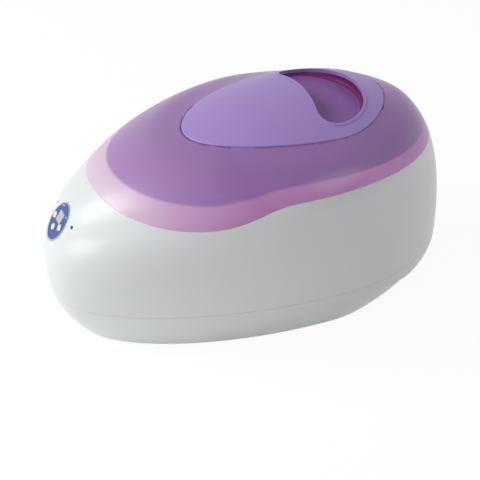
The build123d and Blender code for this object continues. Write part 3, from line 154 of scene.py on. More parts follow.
@dataclass(frozen=True)
class Finish:
    """One material, as a colour that wanders a little, a gloss and a fine surface pattern."""

    name: str
    colour: str
    wander: str
    roughness: float
    spread: float
    grain_mm: float
    depth_mm: float
    grain: Grain = Grain.MOULDED
    metallic: float = 0.0
    ior: float = 1.5
    coat: float = 0.0
    coat_roughness: float = 0.12
    specular: float = 0.5
    wander_mm: float = 45.0
    wander_detail: float = 3.0
    grain_detail: float = 4.0
    grain_roughness: float = 0.55
    grain_range: tuple[float, float] = (0.3, 0.7)
    bump_strength: float = 0.6

    def cloud(self, tree: Tree, place: Socket) -> Socket:
        """Builds the slow pattern that the colour wanders with."""
        size = {"Scale": 1 / (self.wander_mm * MM), "Detail": self.wander_detail}
        return add_node(tree, "ShaderNodeTexNoise", {"Vector": place, **size}).outputs[0]

    def base_colour(self, tree: Tree, place: Socket) -> Socket:
        """Builds the colour that wanders between two close tones.

        Args:
            tree: The material's node tree.
            place: The coordinates that the pattern follows.

        Returns:
            The colour socket.
        """
        tones = {0: self.cloud(tree, place), 6: linear(self.colour), 7: linear(self.wander)}
        return add_node(tree, "ShaderNodeMix", tones, data_type="RGBA").outputs[2]

    def shine(self, tree: Tree, place: Socket) -> Socket | float:
        """Gives how strongly the surface mirrors, as a plain value or the socket that feeds it."""
        return self.specular

    def film(self, tree: Tree, place: Socket) -> Socket | float:
        """Gives the weight of the clear film on top, as a plain value or the socket that feeds it."""
        return self.coat

    def build(self) -> bpy.types.Material:
        """Builds the material.

        Returns:
            The finished material.
        """
        material = bpy.data.materials.new(self.name)
        material.use_nodes = True
        tree = material.node_tree
        tree.nodes.clear()
        place = add_node(tree, "ShaderNodeTexCoord").outputs["Object"]
        stretch = {"Vector": place, "Scale": self.grain.value}
        pattern = {
            "Vector": add_node(tree, "ShaderNodeMapping", stretch).outputs[0],
            "Scale": 1 / (self.grain_mm * MM),
            "Detail": self.grain_detail,
            "Roughness": self.grain_roughness,
        }
        grain = add_node(tree, "ShaderNodeTexNoise", pattern).outputs[0]
        low, high = self.grain_range
        gloss = add_node(
            tree,
            "ShaderNodeMapRange",
            {
                "Value": grain,
                "From Min": low,
                "From Max": high,
                "To Min": self.roughness - self.spread,
                "To Max": self.roughness + self.spread,
            },
        )
        relief = {"Height": grain, "Distance": self.depth_mm * MM, "Strength": self.bump_strength}
        shader = add_node(
            tree,
            "ShaderNodeBsdfPrincipled",
            {
                "Base Color": self.base_colour(tree, place),
                "Roughness": gloss.outputs[0],
                "Normal": add_node(tree, "ShaderNodeBump", relief).outputs[0],
                "Specular IOR Level": self.shine(tree, place),
                "Metallic": self.metallic,
                "Coat Weight": self.film(tree, place),
                "Coat Roughness": self.coat_roughness,
            },
        )
        if not self.metallic:
            shader.inputs["IOR"].default_value = self.ior
        add_node(tree, "ShaderNodeOutputMaterial", {"Surface": shader.outputs[0]})
        return material


@dataclass(frozen=True)
class TranslucentLid(Finish):
    """Tinted see-through polypropylene, with places in millimetres.

    The white band that stands close behind it shows through, paler. Toward the front the tint and the
    band are paler still, a painted highlight. The cup for the fingers has painted shade: its wall is a
    deeper purple than its floor.
    """

    wander_detail: float = 2.0
    drift: tuple[float, float] = (0.97, 1.03)
    y_range: tuple[float, float] = (-160.0, 200.0)
    z_range: tuple[float, float] = (150.0, 175.0)
    # The front stop is paler than the rest: a painted highlight where the light falls on the nose
    tints_and_front_highlight: Stops = ((-150.0, "#B890CA"), (-40.0, "#9A6EB3"), (150.0, "#A373BD"))
    # The band's front stops are paler still: a painted highlight where the light falls on the nose
    band_tones_and_front_highlight: Stops = (
        (-160.0, "#F1E2F0"),
        (-100.0, "#DAABD7"),
        (-35.0, "#C585C1"),
        (80.0, "#E09CE2"),
        (190.0, "#BA7CC3"),
    )
    band_edge: float = 2.2
    band_top: Pairs = (
        (-140.0, 161.0),
        (-92.0, 158.0),
        (-43.0, 163.0),
        (4.0, 169.0),
        (52.0, 167.5),
        (122.0, 162.0),
        (190.0, 158.0),
    )
    cup_middle: tuple[float, float] = (0.0, 60.0)
    cup_half: tuple[float, float] = (62.0, 56.0)
    cup_rim: tuple[float, float] = (0.95, 1.0)
    cup_floor_height: float = 184.8
    cup_edge: float = 0.7
    cup_floor: str = "#9466B0"
    # The wall's deeper purple is painted shade
    cup_wall_shade: str = "#80306E"
    cup_specular: float = 0.1

    def along(self, tree: Tree, place: Socket) -> Socket:
        """Gives how far back each place lies, from 0 at the front to 1 at the rear."""
        low, high = self.y_range
        back = add_node(tree, "ShaderNodeSeparateXYZ", {0: place}).outputs[1]
        span = {"Value": back, "From Min": low * MM, "From Max": high * MM}
        return add_node(tree, "ShaderNodeMapRange", span).outputs[0]

    def tones(self, tree: Tree, place: Socket, stops: Stops) -> Socket:
        """Builds a colour that changes from front to rear.

        Args:
            tree: The material's node tree.
            place: The coordinates that the colour follows.
            stops: For each stop its Y in millimetres and its colour.

        Returns:
            The colour socket.
        """
        low, high = self.y_range
        node = add_node(tree, "ShaderNodeValToRGB", {0: self.along(tree, place)})
        ramp = node.color_ramp
        while len(ramp.elements) < len(stops):
            ramp.elements.new(0.5)
        for element, (y, colour) in zip(ramp.elements, stops):
            element.position = (y - low) / (high - low)
            element.color = linear(colour)
        return node.outputs[0]

    def band_share(self, tree: Tree, place: Socket) -> Socket:
        """Tells where the band stands behind the lid.

        Args:
            tree: The material's node tree.
            place: The coordinates that the band follows.

        Returns:
            The socket that gives 1 on the band and 0 above its top line.
        """
        low_y, high_y = self.y_range
        low_z, high_z = self.z_range
        line = add_node(tree, "ShaderNodeFloatCurve", {"Value": self.along(tree, place)})
        curve = line.mapping.curves[0]
        points = [
            ((y - low_y) / (high_y - low_y), (z - low_z) / (high_z - low_z)) for y, z in self.band_top
        ]
        curve.points[0].location = points[0]
        curve.points[1].location = points[-1]
        for point in points[1:-1]:
            curve.points.new(*point)
        line.mapping.update()
        span = {"Value": line.outputs[0], "To Min": low_z * MM, "To Max": high_z * MM}
        top = add_node(tree, "ShaderNodeMapRange", span).outputs[0]
        up = add_node(tree, "ShaderNodeSeparateXYZ", {0: place}).outputs[2]
        under = add_node(tree, "ShaderNodeMath", {0: top, 1: up}, operation="SUBTRACT").outputs[0]
        half = self.band_edge / 2 * MM
        edge = {"Value": under, "From Min": -half, "From Max": half}
        return add_node(
            tree, "ShaderNodeMapRange", edge, interpolation_type="SMOOTHSTEP"
        ).outputs[0]

    def cup_share(self, tree: Tree, place: Socket) -> Socket:
        """Tells where the cup for the fingers is.

        Args:
            tree: The material's node tree.
            place: The coordinates that the cup follows.

        Returns:
            The socket that gives 1 in the cup and 0 outside the handle plate.
        """
        middle = (self.cup_middle[0] * MM, self.cup_middle[1] * MM, 0)
        flat = (1 / (self.cup_half[0] * MM), 1 / (self.cup_half[1] * MM), 0)
        offset = add_node(tree, "ShaderNodeVectorMath", {0: place, 1: middle}, operation="SUBTRACT")
        scaled = add_node(
            tree, "ShaderNodeVectorMath", {0: offset.outputs[0], 1: flat}, operation="MULTIPLY"
        )
        reach = add_node(tree, "ShaderNodeVectorMath", {0: scaled.outputs[0]}, operation="LENGTH")
        inner, outer = self.cup_rim
        rim = {"Value": reach.outputs["Value"], "From Min": inner, "From Max": outer}
        return add_node(tree, "ShaderNodeMapRange", {**rim, "To Min": 1, "To Max": 0}).outputs[0]

    def cup_colour_and_wall_shade(self, tree: Tree, place: Socket) -> Socket:
        """Builds the cup's colour, with painted shade on its wall: a deeper tone there than on its floor.

        Args:
            tree: The material's node tree.
            place: The coordinates that the cup follows.

        Returns:
            The colour socket.
        """
        up = add_node(tree, "ShaderNodeSeparateXYZ", {0: place}).outputs[2]
        half = self.cup_edge / 2
        span = {
            "Value": up,
            "From Min": (self.cup_floor_height - half) * MM,
            "From Max": (self.cup_floor_height + half) * MM,
        }
        # Painted shade: the cup turns a deeper purple above the floor height, on its wall
        wall = add_node(tree, "ShaderNodeMapRange", span, interpolation_type="SMOOTHSTEP").outputs[0]
        tones = {0: wall, 6: linear(self.cup_floor), 7: linear(self.cup_wall_shade)}
        return add_node(tree, "ShaderNodeMix", tones, data_type="RGBA").outputs[2]

    def by_cup(self, tree: Tree, place: Socket, outside: float, inside: float) -> Socket:
        """Gives one value outside the cup and another in it."""
        span = {"Value": self.cup_share(tree, place), "To Min": outside, "To Max": inside}
        return add_node(tree, "ShaderNodeMapRange", span).outputs[0]

    def shine(self, tree: Tree, place: Socket) -> Socket:
        """Gives the lid's shine, which is weak in the cup."""
        return self.by_cup(tree, place, self.specular, self.cup_specular)

    def film(self, tree: Tree, place: Socket) -> Socket:
        """Gives the weight of the lid's clear film, which ends at the cup."""
        return self.by_cup(tree, place, self.coat, 0.0)

    def base_colour(self, tree: Tree, place: Socket) -> Socket:
        """Builds the tint with a painted highlight toward the front, the paler band below it, and the cup
        with painted shade on its wall.

        Args:
            tree: The material's node tree.
            place: The coordinates that the pattern follows.

        Returns:
            The colour socket.
        """
        low, high = self.drift
        span = {"Value": self.cloud(tree, place), "To Min": low, "To Max": high}
        drift = add_node(tree, "ShaderNodeMapRange", span).outputs[0]
        dome = {
            0: self.band_share(tree, place),
            6: self.tones(tree, place, self.tints_and_front_highlight),
            7: self.tones(tree, place, self.band_tones_and_front_highlight),
        }
        whole = {
            0: self.cup_share(tree, place),
            6: add_node(tree, "ShaderNodeMix", dome, data_type="RGBA").outputs[2],
            7: self.cup_colour_and_wall_shade(tree, place),
        }
        plain = add_node(tree, "ShaderNodeMix", whole, data_type="RGBA").outputs[2]
        return add_node(
            tree, "ShaderNodeVectorMath", {0: plain, 1: drift}, operation="MULTIPLY"
        ).outputs[0]


# Injection-moulded ABS from a polished tool: clean white, even semi-gloss and a faint orange peel
HOUSING_ABS = Finish("white_abs_moulded", "#F1F4F4", "#ECEFF1", 0.36, 0.04, 2.4, 0.006, coat=0.10)
# Tinted polypropylene, moulded thin: purple, glossy, and milky enough to hide the tank; its colour also
# carries a painted highlight toward the front and painted shade on the cup's wall
LID_PP = TranslucentLid(
    "purple_polypropylene_moulded", "#9C6DB4", "#9668AE", 0.33, 0.03, 2.0, 0.003, coat=0.12
)
# Opaque lilac ABS with a fine spark-eroded texture, so the plate looks softer than the lid
HANDLE_ABS = Finish("lilac_abs_textured", "#B393DB", "#AD8DD6", 0.42, 0.05, 1.1, 0.008)
# Push-in feet of moulded grey rubber: matt, a little dusty
FOOT_RUBBER = Finish("grey_rubber_moulded", "#3A3B3E", "#46474A", 0.82, 0.08, 1.6, 0.030, ior=1.52)
# Silicone seal: milky and dull
SEAL_SILICONE = Finish(
    "milky_silicone_moulded", "#C9C9C6", "#BFBFBC", 0.55, 0.06, 1.4, 0.010, ior=1.41
)
# Zinc-plated screws and nuts: bright with a faint blue tone
ZINC_STEEL = Finish("zinc_plated_steel", "#B9BDC2", "#AEB3BA", 0.30, 0.08, 0.8, 0.006, metallic=1.0)
# Deep-drawn, anodised aluminium: satin with draw marks that run down the wall
TANK_ALUMINIUM = Finish(
    "anodised_aluminium_drawn", "#C9CBCE", "#BDBFC3", 0.36, 0.07, 0.9, 0.010, Grain.DRAWN, 1.0
)
# Moulded natural polypropylene grate: waxy and matt
GRATE_PP = Finish("white_polypropylene_matt", "#DDDEE0", "#D3D4D8", 0.50, 0.07, 1.5, 0.020)
# Heat-tinted stainless tube and sheet: straw to brown where it runs hot
ELEMENT_STEEL = Finish(
    "heat_tinted_stainless", "#9A938A", "#857A6C", 0.38, 0.09, 1.0, 0.008, Grain.DRAWN, 1.0
)
# Needled mineral wool: matt, fibrous, uneven cream
MINERAL_WOOL = Finish(
    "needled_mineral_wool", "#CFC6A8", "#B8AE8E", 0.92, 0.05, 1.2, 0.250, Grain.FIBROUS
)
# Glazed steatite casing of the sensor and the fuse
STEATITE = Finish("steatite_pressed", "#E4DFD3", "#D8D2C4", 0.45, 0.08, 0.7, 0.010)
# Solder-masked glass-fibre laminate: green, glossy over the weave
BOARD_LAMINATE = Finish(
    "solder_masked_laminate", "#1F5B36", "#18502E", 0.34, 0.05, 0.6, 0.008, coat=0.3
)
# Black glass-filled nylon of the inlet and the components
BLACK_NYLON = Finish("black_nylon_moulded", "#1B1B1D", "#232326", 0.46, 0.07, 1.0, 0.015)
# Varnished transformer laminations
CORE_STEEL = Finish(
    "varnished_laminations", "#4A4642", "#3C3936", 0.42, 0.08, 0.5, 0.030, Grain.DRAWN, 0.8
)
# Bright rolled brass of the contact pins
PIN_BRASS = Finish("rolled_brass", "#C9A466", "#BE9759", 0.26, 0.07, 0.6, 0.004, Grain.DRAWN, 1.0)
# Pale blue ABS of the panel's bezel
BEZEL_ABS = Finish("pale_blue_abs_moulded", "#AEBBD6", "#A5B3D0", 0.34, 0.05, 1.2, 0.006)
# Screen-printed polyester film: flat blue ink under a satin face
LABEL_FILM = Finish("blue_printed_polyester", "#3D5C9E", "#385698", 0.42, 0.05, 0.5, 0.004)
# Unlit liquid-crystal display under a hard-coated window
DISPLAY_GLASS = Finish("unlit_display_grey", "#C3C5CC", "#BABCC6", 0.16, 0.03, 0.4, 0.001, coat=0.5)
# White button caps, matt from the finger's touch
BUTTON_ABS = Finish("white_abs_button", "#EFF0F1", "#E8E9EC", 0.44, 0.06, 0.7, 0.006)
# Lenses of the two indicator lamps, unlit
GREY_LENS = Finish("grey_acrylic_lens", "#7E7F84", "#76777C", 0.20, 0.04, 0.5, 0.002, coat=0.4)
GREEN_LENS = Finish("dark_green_acrylic_lens", "#146B30", "#105A28", 0.24, 0.04, 0.5, 0.002, coat=0.2)
# PVC sheaths of the leads
LEAD_SHEATH = Finish("black_pvc_sheath", "#202124", "#292A2D", 0.55, 0.08, 0.8, 0.010)
# Lilac, pale blue and grey ink on the label and the right button
LILAC_INK = Finish("pale_lilac_screen_ink", "#BFC2DC", "#B5B9D6", 0.42, 0.05, 0.4, 0.003)
PALE_INK = Finish("pale_blue_screen_ink", "#9DB0D0", "#93A7CA", 0.42, 0.05, 0.4, 0.003)
GREY_INK = Finish("grey_pad_printed_ink", "#77798A", "#6E7082", 0.42, 0.05, 0.4, 0.003)

NODE_FINISHES: dict[Finish, tuple[str, ...]] = {
    HOUSING_ABS: ("upper_housing", "bottom_shell"),
    LID_PP: ("lid",),
    HANDLE_ABS: ("lid_handle",),
    FOOT_RUBBER: ("foot_front_left", "foot_front_right", "foot_rear_left", "foot_rear_right"),
    SEAL_SILICONE: ("tank_seal",),
    ZINC_STEEL: (
        "base_screws",
        "tank_screws",
        "power_board_screws",
        "control_board_screws",
        "lid_screws",
        "heater_nuts",
    ),
    TANK_ALUMINIUM: ("tank", "heater_plate"),
    GRATE_PP: ("tank_grate",),
    ELEMENT_STEEL: ("heating_element", "heater_terminals", "heat_shield"),
    MINERAL_WOOL: ("insulation_pad",),
    STEATITE: ("temperature_sensor", "thermal_fuse"),
    BOARD_LAMINATE: ("power_board", "control_board"),
    BLACK_NYLON: ("heater_relay", "terminal_block", "power_inlet", "tact_switches"),
    CORE_STEEL: ("transformer",),
    PIN_BRASS: ("inlet_pins",),
    BEZEL_ABS: ("control_bezel",),
    LABEL_FILM: ("control_label",),
    DISPLAY_GLASS: ("display_window", "display_module"),
    BUTTON_ABS: ("button_left", "button_lower", "button_right"),
    GREY_LENS: ("lens_left",),
    GREEN_LENS: ("lens_right", "indicator_leds"),
    LEAD_SHEATH: ("mains_flex", "heater_leads", "sensor_lead", "display_lead"),
}


class Paintbox:
    """Builds each finish once and hands out its material."""

    def __init__(self) -> None:
        """Starts with no material built."""
        self.built: dict[str, bpy.types.Material] = {}

    def material(self, finish: Finish) -> bpy.types.Material:
        """Gives the material of a finish, building it at its first use."""
        if finish.name not in self.built:
            self.built[finish.name] = finish.build()
        return self.built[finish.name]

    def paint(self, piece: bpy.types.Object, finish: Finish) -> None:
        """Gives a piece one finish all over."""
        piece.data.materials.clear()
        piece.data.materials.append(self.material(finish))


@dataclass
class SubAssembly:
    frame: dict[str, Any]
    paints: Paintbox


@dataclass(frozen=True)
class SideCurve:
    """One side curve of the body: a belly below its fullest point and a dome above, in millimetres."""

    base: float
    swell: float
    swell_height: float
    power: float
    crown: float
    belly_power: float = 2.66
    low: float = 2.0
    high: float = 201.7
    slope_step: float = 0.5

    def reach(self, height: Array) -> Array:
        """Gives how far the curve stands out.

        Args:
            height: The heights that are asked for.

        Returns:
            The reach at each height.
        """
        below = np.clip((self.swell_height - height) / (self.swell_height - self.low), 0, 1)
        above = np.clip((height - self.swell_height) / (self.high - self.swell_height), 0, 1)
        belly = self.swell - (self.swell - self.base) * below**self.belly_power
        dome = self.crown + (self.swell - self.crown) * (1 - above**self.power) ** (1 / self.power)
        return np.where(height < self.swell_height, belly, dome)

    def inside(self, height: Array, inset: Array) -> Array:
        """Gives the curve moved in by a wall, measured square to the surface."""
        step = self.slope_step
        slope = (self.reach(height + step) - self.reach(height - step)) / (2 * step)
        return self.reach(height) - inset * np.sqrt(1 + slope**2)


@dataclass(frozen=True)
class BodyForm:
    """The egg-shaped body as the CAD source states it, in millimetres."""

    front: SideCurve = SideCurve(167.8, 194.1, 85.2, 1.95, -76.8)
    rear: SideCurve = SideCurve(144.0, 194.1, 43.1, 2.61, 76.8)
    side: SideCurve = SideCurve(88.5, 114.5, 147.3, 1.77, 0.0)
    widest_low: float = 0.70
    widest_high: float = 0.43
    roundness: float = 0.51
    underside: float = 2.0
    crown: float = 201.7
    samples: int = 400
    search_low: float = 120.0
    search_end: float = 0.01
    search_rounds: int = 30
    gradient_step: float = 0.05
    settle_rounds: int = 3

    def quarter(self) -> tuple[Array, Array]:
        """Gives the egg's unit quarter.

        Returns:
            The angles from its narrow end, and the radius at each.
        """
        turn = np.linspace(0, 1, self.samples)
        keep = 1 - turn
        across = 3 * keep**2 * turn * self.roundness + 3 * keep * turn**2 + turn**3
        along = keep**3 + 3 * keep**2 * turn + 3 * keep * turn**2 * self.roundness
        return np.arctan2(across, along), np.hypot(across, along)

    def fullness(self, points: Array, inset: Array) -> Array:
        """Gives each point's distance from the egg's middle as a share of the egg's own.

        Args:
            points: Points in millimetres, one row each.
            inset: How far inside the outer surface the wanted surface lies, one number for each point.

        Returns:
            One share for each point: 1 on the surface, under 1 inside.
        """
        height = points[:, 2]
        front = self.front.reach(height)
        rear = self.rear.reach(height)
        rise = (height - self.underside) / (self.crown - self.underside)
        share = self.widest_low + (self.widest_high - self.widest_low) * rise
        widest = -front + share * (front + rear)
        half = self.side.inside(height, inset)
        nose = self.front.inside(height, inset) + widest
        tail = self.rear.inside(height, inset) - widest
        offset = points[:, 1] - widest
        length = np.where(offset < 0, nose, tail)
        across = np.abs(points[:, 0]) / np.where(half == 0, TINY, half)
        along = np.abs(offset) / np.where(length == 0, TINY, length)
        angles, radii = self.quarter()
        angle = np.arctan2(across, along)
        return np.hypot(across, along) / np.interp(angle, angles, radii)

    def surface_height(self, points: Array) -> Array:
        """Finds the body's upper surface over or under each point.

        Args:
            points: Points in millimetres, one row each.

        Returns:
            The surface's height there, in millimetres.
        """
        low = np.full(len(points), self.search_low)
        high = np.full(len(points), self.crown - self.search_end)
        none = np.zeros(len(points))
        for _ in range(self.search_rounds):
            middle = (low + high) / 2
            inside = self.fullness(np.column_stack([points[:, :2], middle]), none) < 1
            low = np.where(inside, middle, low)
            high = np.where(inside, high, middle)
        return (low + high) / 2

    def gradient(self, points: Array, inset: Array) -> Array:
        """Gives the direction and rate at which the fullness grows.

        Args:
            points: Points in millimetres, one row each.
            inset: How far inside the outer surface the wanted surface lies, one number for each point.

        Returns:
            One row for each point, per millimetre.
        """
        step = self.gradient_step
        rates = []
        for axis in range(3):
            move = np.zeros(3)
            move[axis] = step
            ahead = self.fullness(points + move, inset)
            behind = self.fullness(points - move, inset)
            rates.append((ahead - behind) / (2 * step))
        return np.stack(rates, axis=1)

    def settle(self, points: Array, inset: Array) -> tuple[Array, Array]:
        """Moves points square onto the surface.

        Args:
            points: Points in millimetres, one row each.
            inset: How far inside the outer surface the wanted surface lies, one number for each point.

        Returns:
            The settled points, and the outward normal at each.
        """
        settled = points.copy()
        for _ in range(self.settle_rounds):
            rate = self.gradient(settled, inset)
            length = np.maximum((rate**2).sum(axis=1), 1e-12)
            settled -= ((self.fullness(settled, inset) - 1) / length)[:, None] * rate
        rate = self.gradient(settled, inset)
        return settled, rate / np.maximum(np.linalg.norm(rate, axis=1), TINY)[:, None]


@dataclass(frozen=True)
class PlateForm:
    """The handle plate's outline in plan and its crowned top, in millimetres."""

    front: float = 61.0
    rear: float = 128.7
    half_width: float = 67.0
    widest_y: float = 56.8
    roundness: float = 0.51
    crown_y: float = 48.5
    crown_height: float = 201.3
    long_radius: float = 296.0
    side_radius: float = 141.0
    crown_reach: float = 130.0

    def outline(self, steps: int) -> Array:
        """Gives the outline as rows of X and Y, once round from the front.

        Args:
            steps: How many points each quarter gets.

        Returns:
            The points, in order.
        """
        share = np.linspace(0, 1, steps, endpoint=False)[:, None]
        keep = 1 - share
        half, widest = self.half_width, self.widest_y
        nose = (self.front + widest) * self.roundness
        tail = (self.rear - widest) * self.roundness
        side = half * self.roundness
        quarters = (
            ((0, -self.front), (side, -self.front), (half, widest - nose), (half, widest)),
            ((half, widest), (half, widest + tail), (side, self.rear), (0, self.rear)),
        )
        right = np.vstack(
            [
                keep**3 * np.array(a)
                + 3 * keep**2 * share * np.array(b)
                + 3 * keep * share**2 * np.array(c)
                + share**3 * np.array(d)
                for a, b, c, d in quarters
            ]
        )
        left = np.vstack([(0, self.rear), right[:0:-1]]) * (-1, 1)
        return np.vstack([right, left])

    def height(self, points: Array) -> Array:
        """Gives the height of the plate's crowned surface at rows of X and Y."""
        sideways = np.clip(points[:, 0], -self.crown_reach, self.crown_reach)
        radius = self.long_radius - self.side_radius + np.sqrt(self.side_radius**2 - sideways**2)
        along = points[:, 1] - self.crown_y
        return self.crown_height - self.long_radius + np.sqrt(radius**2 - along**2)


@dataclass(frozen=True)
class PlateSeat:
    """The gentle sink of the lid around the handle plate, whose edge then stands a little proud."""

    form: BodyForm = field(default_factory=BodyForm)
    plate: PlateForm = field(default_factory=PlateForm)
    proud: float = 0.8
    reach: float = 34.0
    wall: float = 3.2
    fade: float = 3.0
    steps: int = 120

    def sink(self, points: Array) -> Array:
        """Gives how far each point of the lid sinks.

        Args:
            points: Points in millimetres, one row each.

        Returns:
            The distances, 0 for the points that stay.
        """
        line = self.plate.outline(self.steps)
        step = line[:, None, :] - points[None, :, :2]
        distance = np.hypot(step[..., 0], step[..., 1])
        there = line[distance.argmin(axis=0)]
        away = distance.min(axis=0)
        inside = np.zeros(len(points), bool)
        for (ax, ay), (bx, by) in zip(line, np.roll(line, -1, axis=0)):
            crosses = (ay > points[:, 1]) != (by > points[:, 1])
            if crosses.any():
                inside ^= crosses & (points[:, 0] < ax + (points[:, 1] - ay) * (bx - ax) / (by - ay))
        depth = self.form.surface_height(there) - self.plate.height(there) + self.proud
        share = np.clip(1 - away / self.reach, 0, 1)
        share = share**2 * (3 - 2 * share)
        under = self.form.surface_height(points) - points[:, 2]
        shell = np.clip(1 - (under - self.wall) / self.fade, 0, 1)
        return np.where(inside, 0, np.maximum(depth, 0) * share * shell)


@dataclass(frozen=True)
class PanelPlane:
    """The control panel's own plane on the nose, in millimetres."""

    height: float = 120.5
    tilt: float = 35.5
    depth: float = 2.2

    def origin(self) -> Vector:
        """Gives the plane's middle."""
        reach = float(BodyForm().front.reach(np.array([self.height]))[0])
        lean = math.radians(self.tilt)
        back, down = self.depth * math.cos(lean), self.depth * math.sin(lean)
        return Vector((0, -reach + back, self.height - down))

    def matrix(self) -> Matrix:
        """Gives the matrix that takes a place on the panel, in millimetres, to the frame in metres."""
        lean = math.radians(self.tilt)
        rows = ((1, 0, 0), (0, math.sin(lean), -math.cos(lean)), (0, math.cos(lean), math.sin(lean)))
        return Matrix.Scale(MM, 4) @ Matrix.Translation(self.origin()) @ Matrix(rows).to_4x4()


def new_piece(name: str, mesh: bpy.types.Mesh) -> bpy.types.Object:
    """Links a mesh to the scene as a piece whose object sits at the origin."""
    piece = bpy.data.objects.new(name, mesh)
    bpy.context.scene.collection.objects.link(piece)
    return piece


def mesh_from(name: str, build: Callable[[Work], None], place: Matrix) -> bpy.types.Mesh:
    """Builds a mesh in its own coordinates and puts its place into it.

    Args:
        name: The mesh's name.
        build: Adds the faces to an empty bmesh.
        place: The matrix that takes the mesh's own coordinates to the frame.

    Returns:
        The mesh, with outward faces and smooth shading between them up to the sharp angle.
    """
    work = bmesh.new()
    build(work)
    bmesh.ops.remove_doubles(work, verts=work.verts, dist=MERGE_DISTANCE)
    bmesh.ops.recalc_face_normals(work, faces=work.faces)
    bmesh.ops.transform(work, matrix=place, verts=work.verts)
    mesh = bpy.data.meshes.new(name)
    work.to_mesh(mesh)
    work.free()
    mesh.shade_smooth()
    mesh.set_sharp_from_angle(angle=math.radians(PIECE_SHARP_ANGLE))
    return mesh


def lathe(work: Work, profile: Sequence[tuple[float, float]], steps: int) -> None:
    """Turns a profile of (radius, height) pairs about the local Z axis.

    Args:
        work: The bmesh that gets the faces.
        profile: The outline, from the axis at the bottom round to the axis at the top.
        steps: How many flats the turned shape has.
    """
    rings = []
    for radius, height in profile:
        ring = []
        for step in range(steps):
            angle = 2 * math.pi * step / steps
            ring.append(work.verts.new((radius * math.cos(angle), radius * math.sin(angle), height)))
        rings.append(ring)
    for lower, upper in zip(rings, rings[1:]):
        for step in range(steps):
            after = (step + 1) % steps
            work.faces.new((lower[step], lower[after], upper[after], upper[step]))


def baked(piece: bpy.types.Object) -> bpy.types.Mesh:
    """Turns a piece's modifiers into plain faces.

    Args:
        piece: The piece, which then has the new mesh and no modifier.

    Returns:
        The new mesh.
    """
    bpy.context.view_layer.update()
    evaluated = piece.evaluated_get(bpy.context.evaluated_depsgraph_get())
    mesh = bpy.data.meshes.new_from_object(evaluated)
    piece.modifiers.clear()
    piece.data = mesh
    return mesh


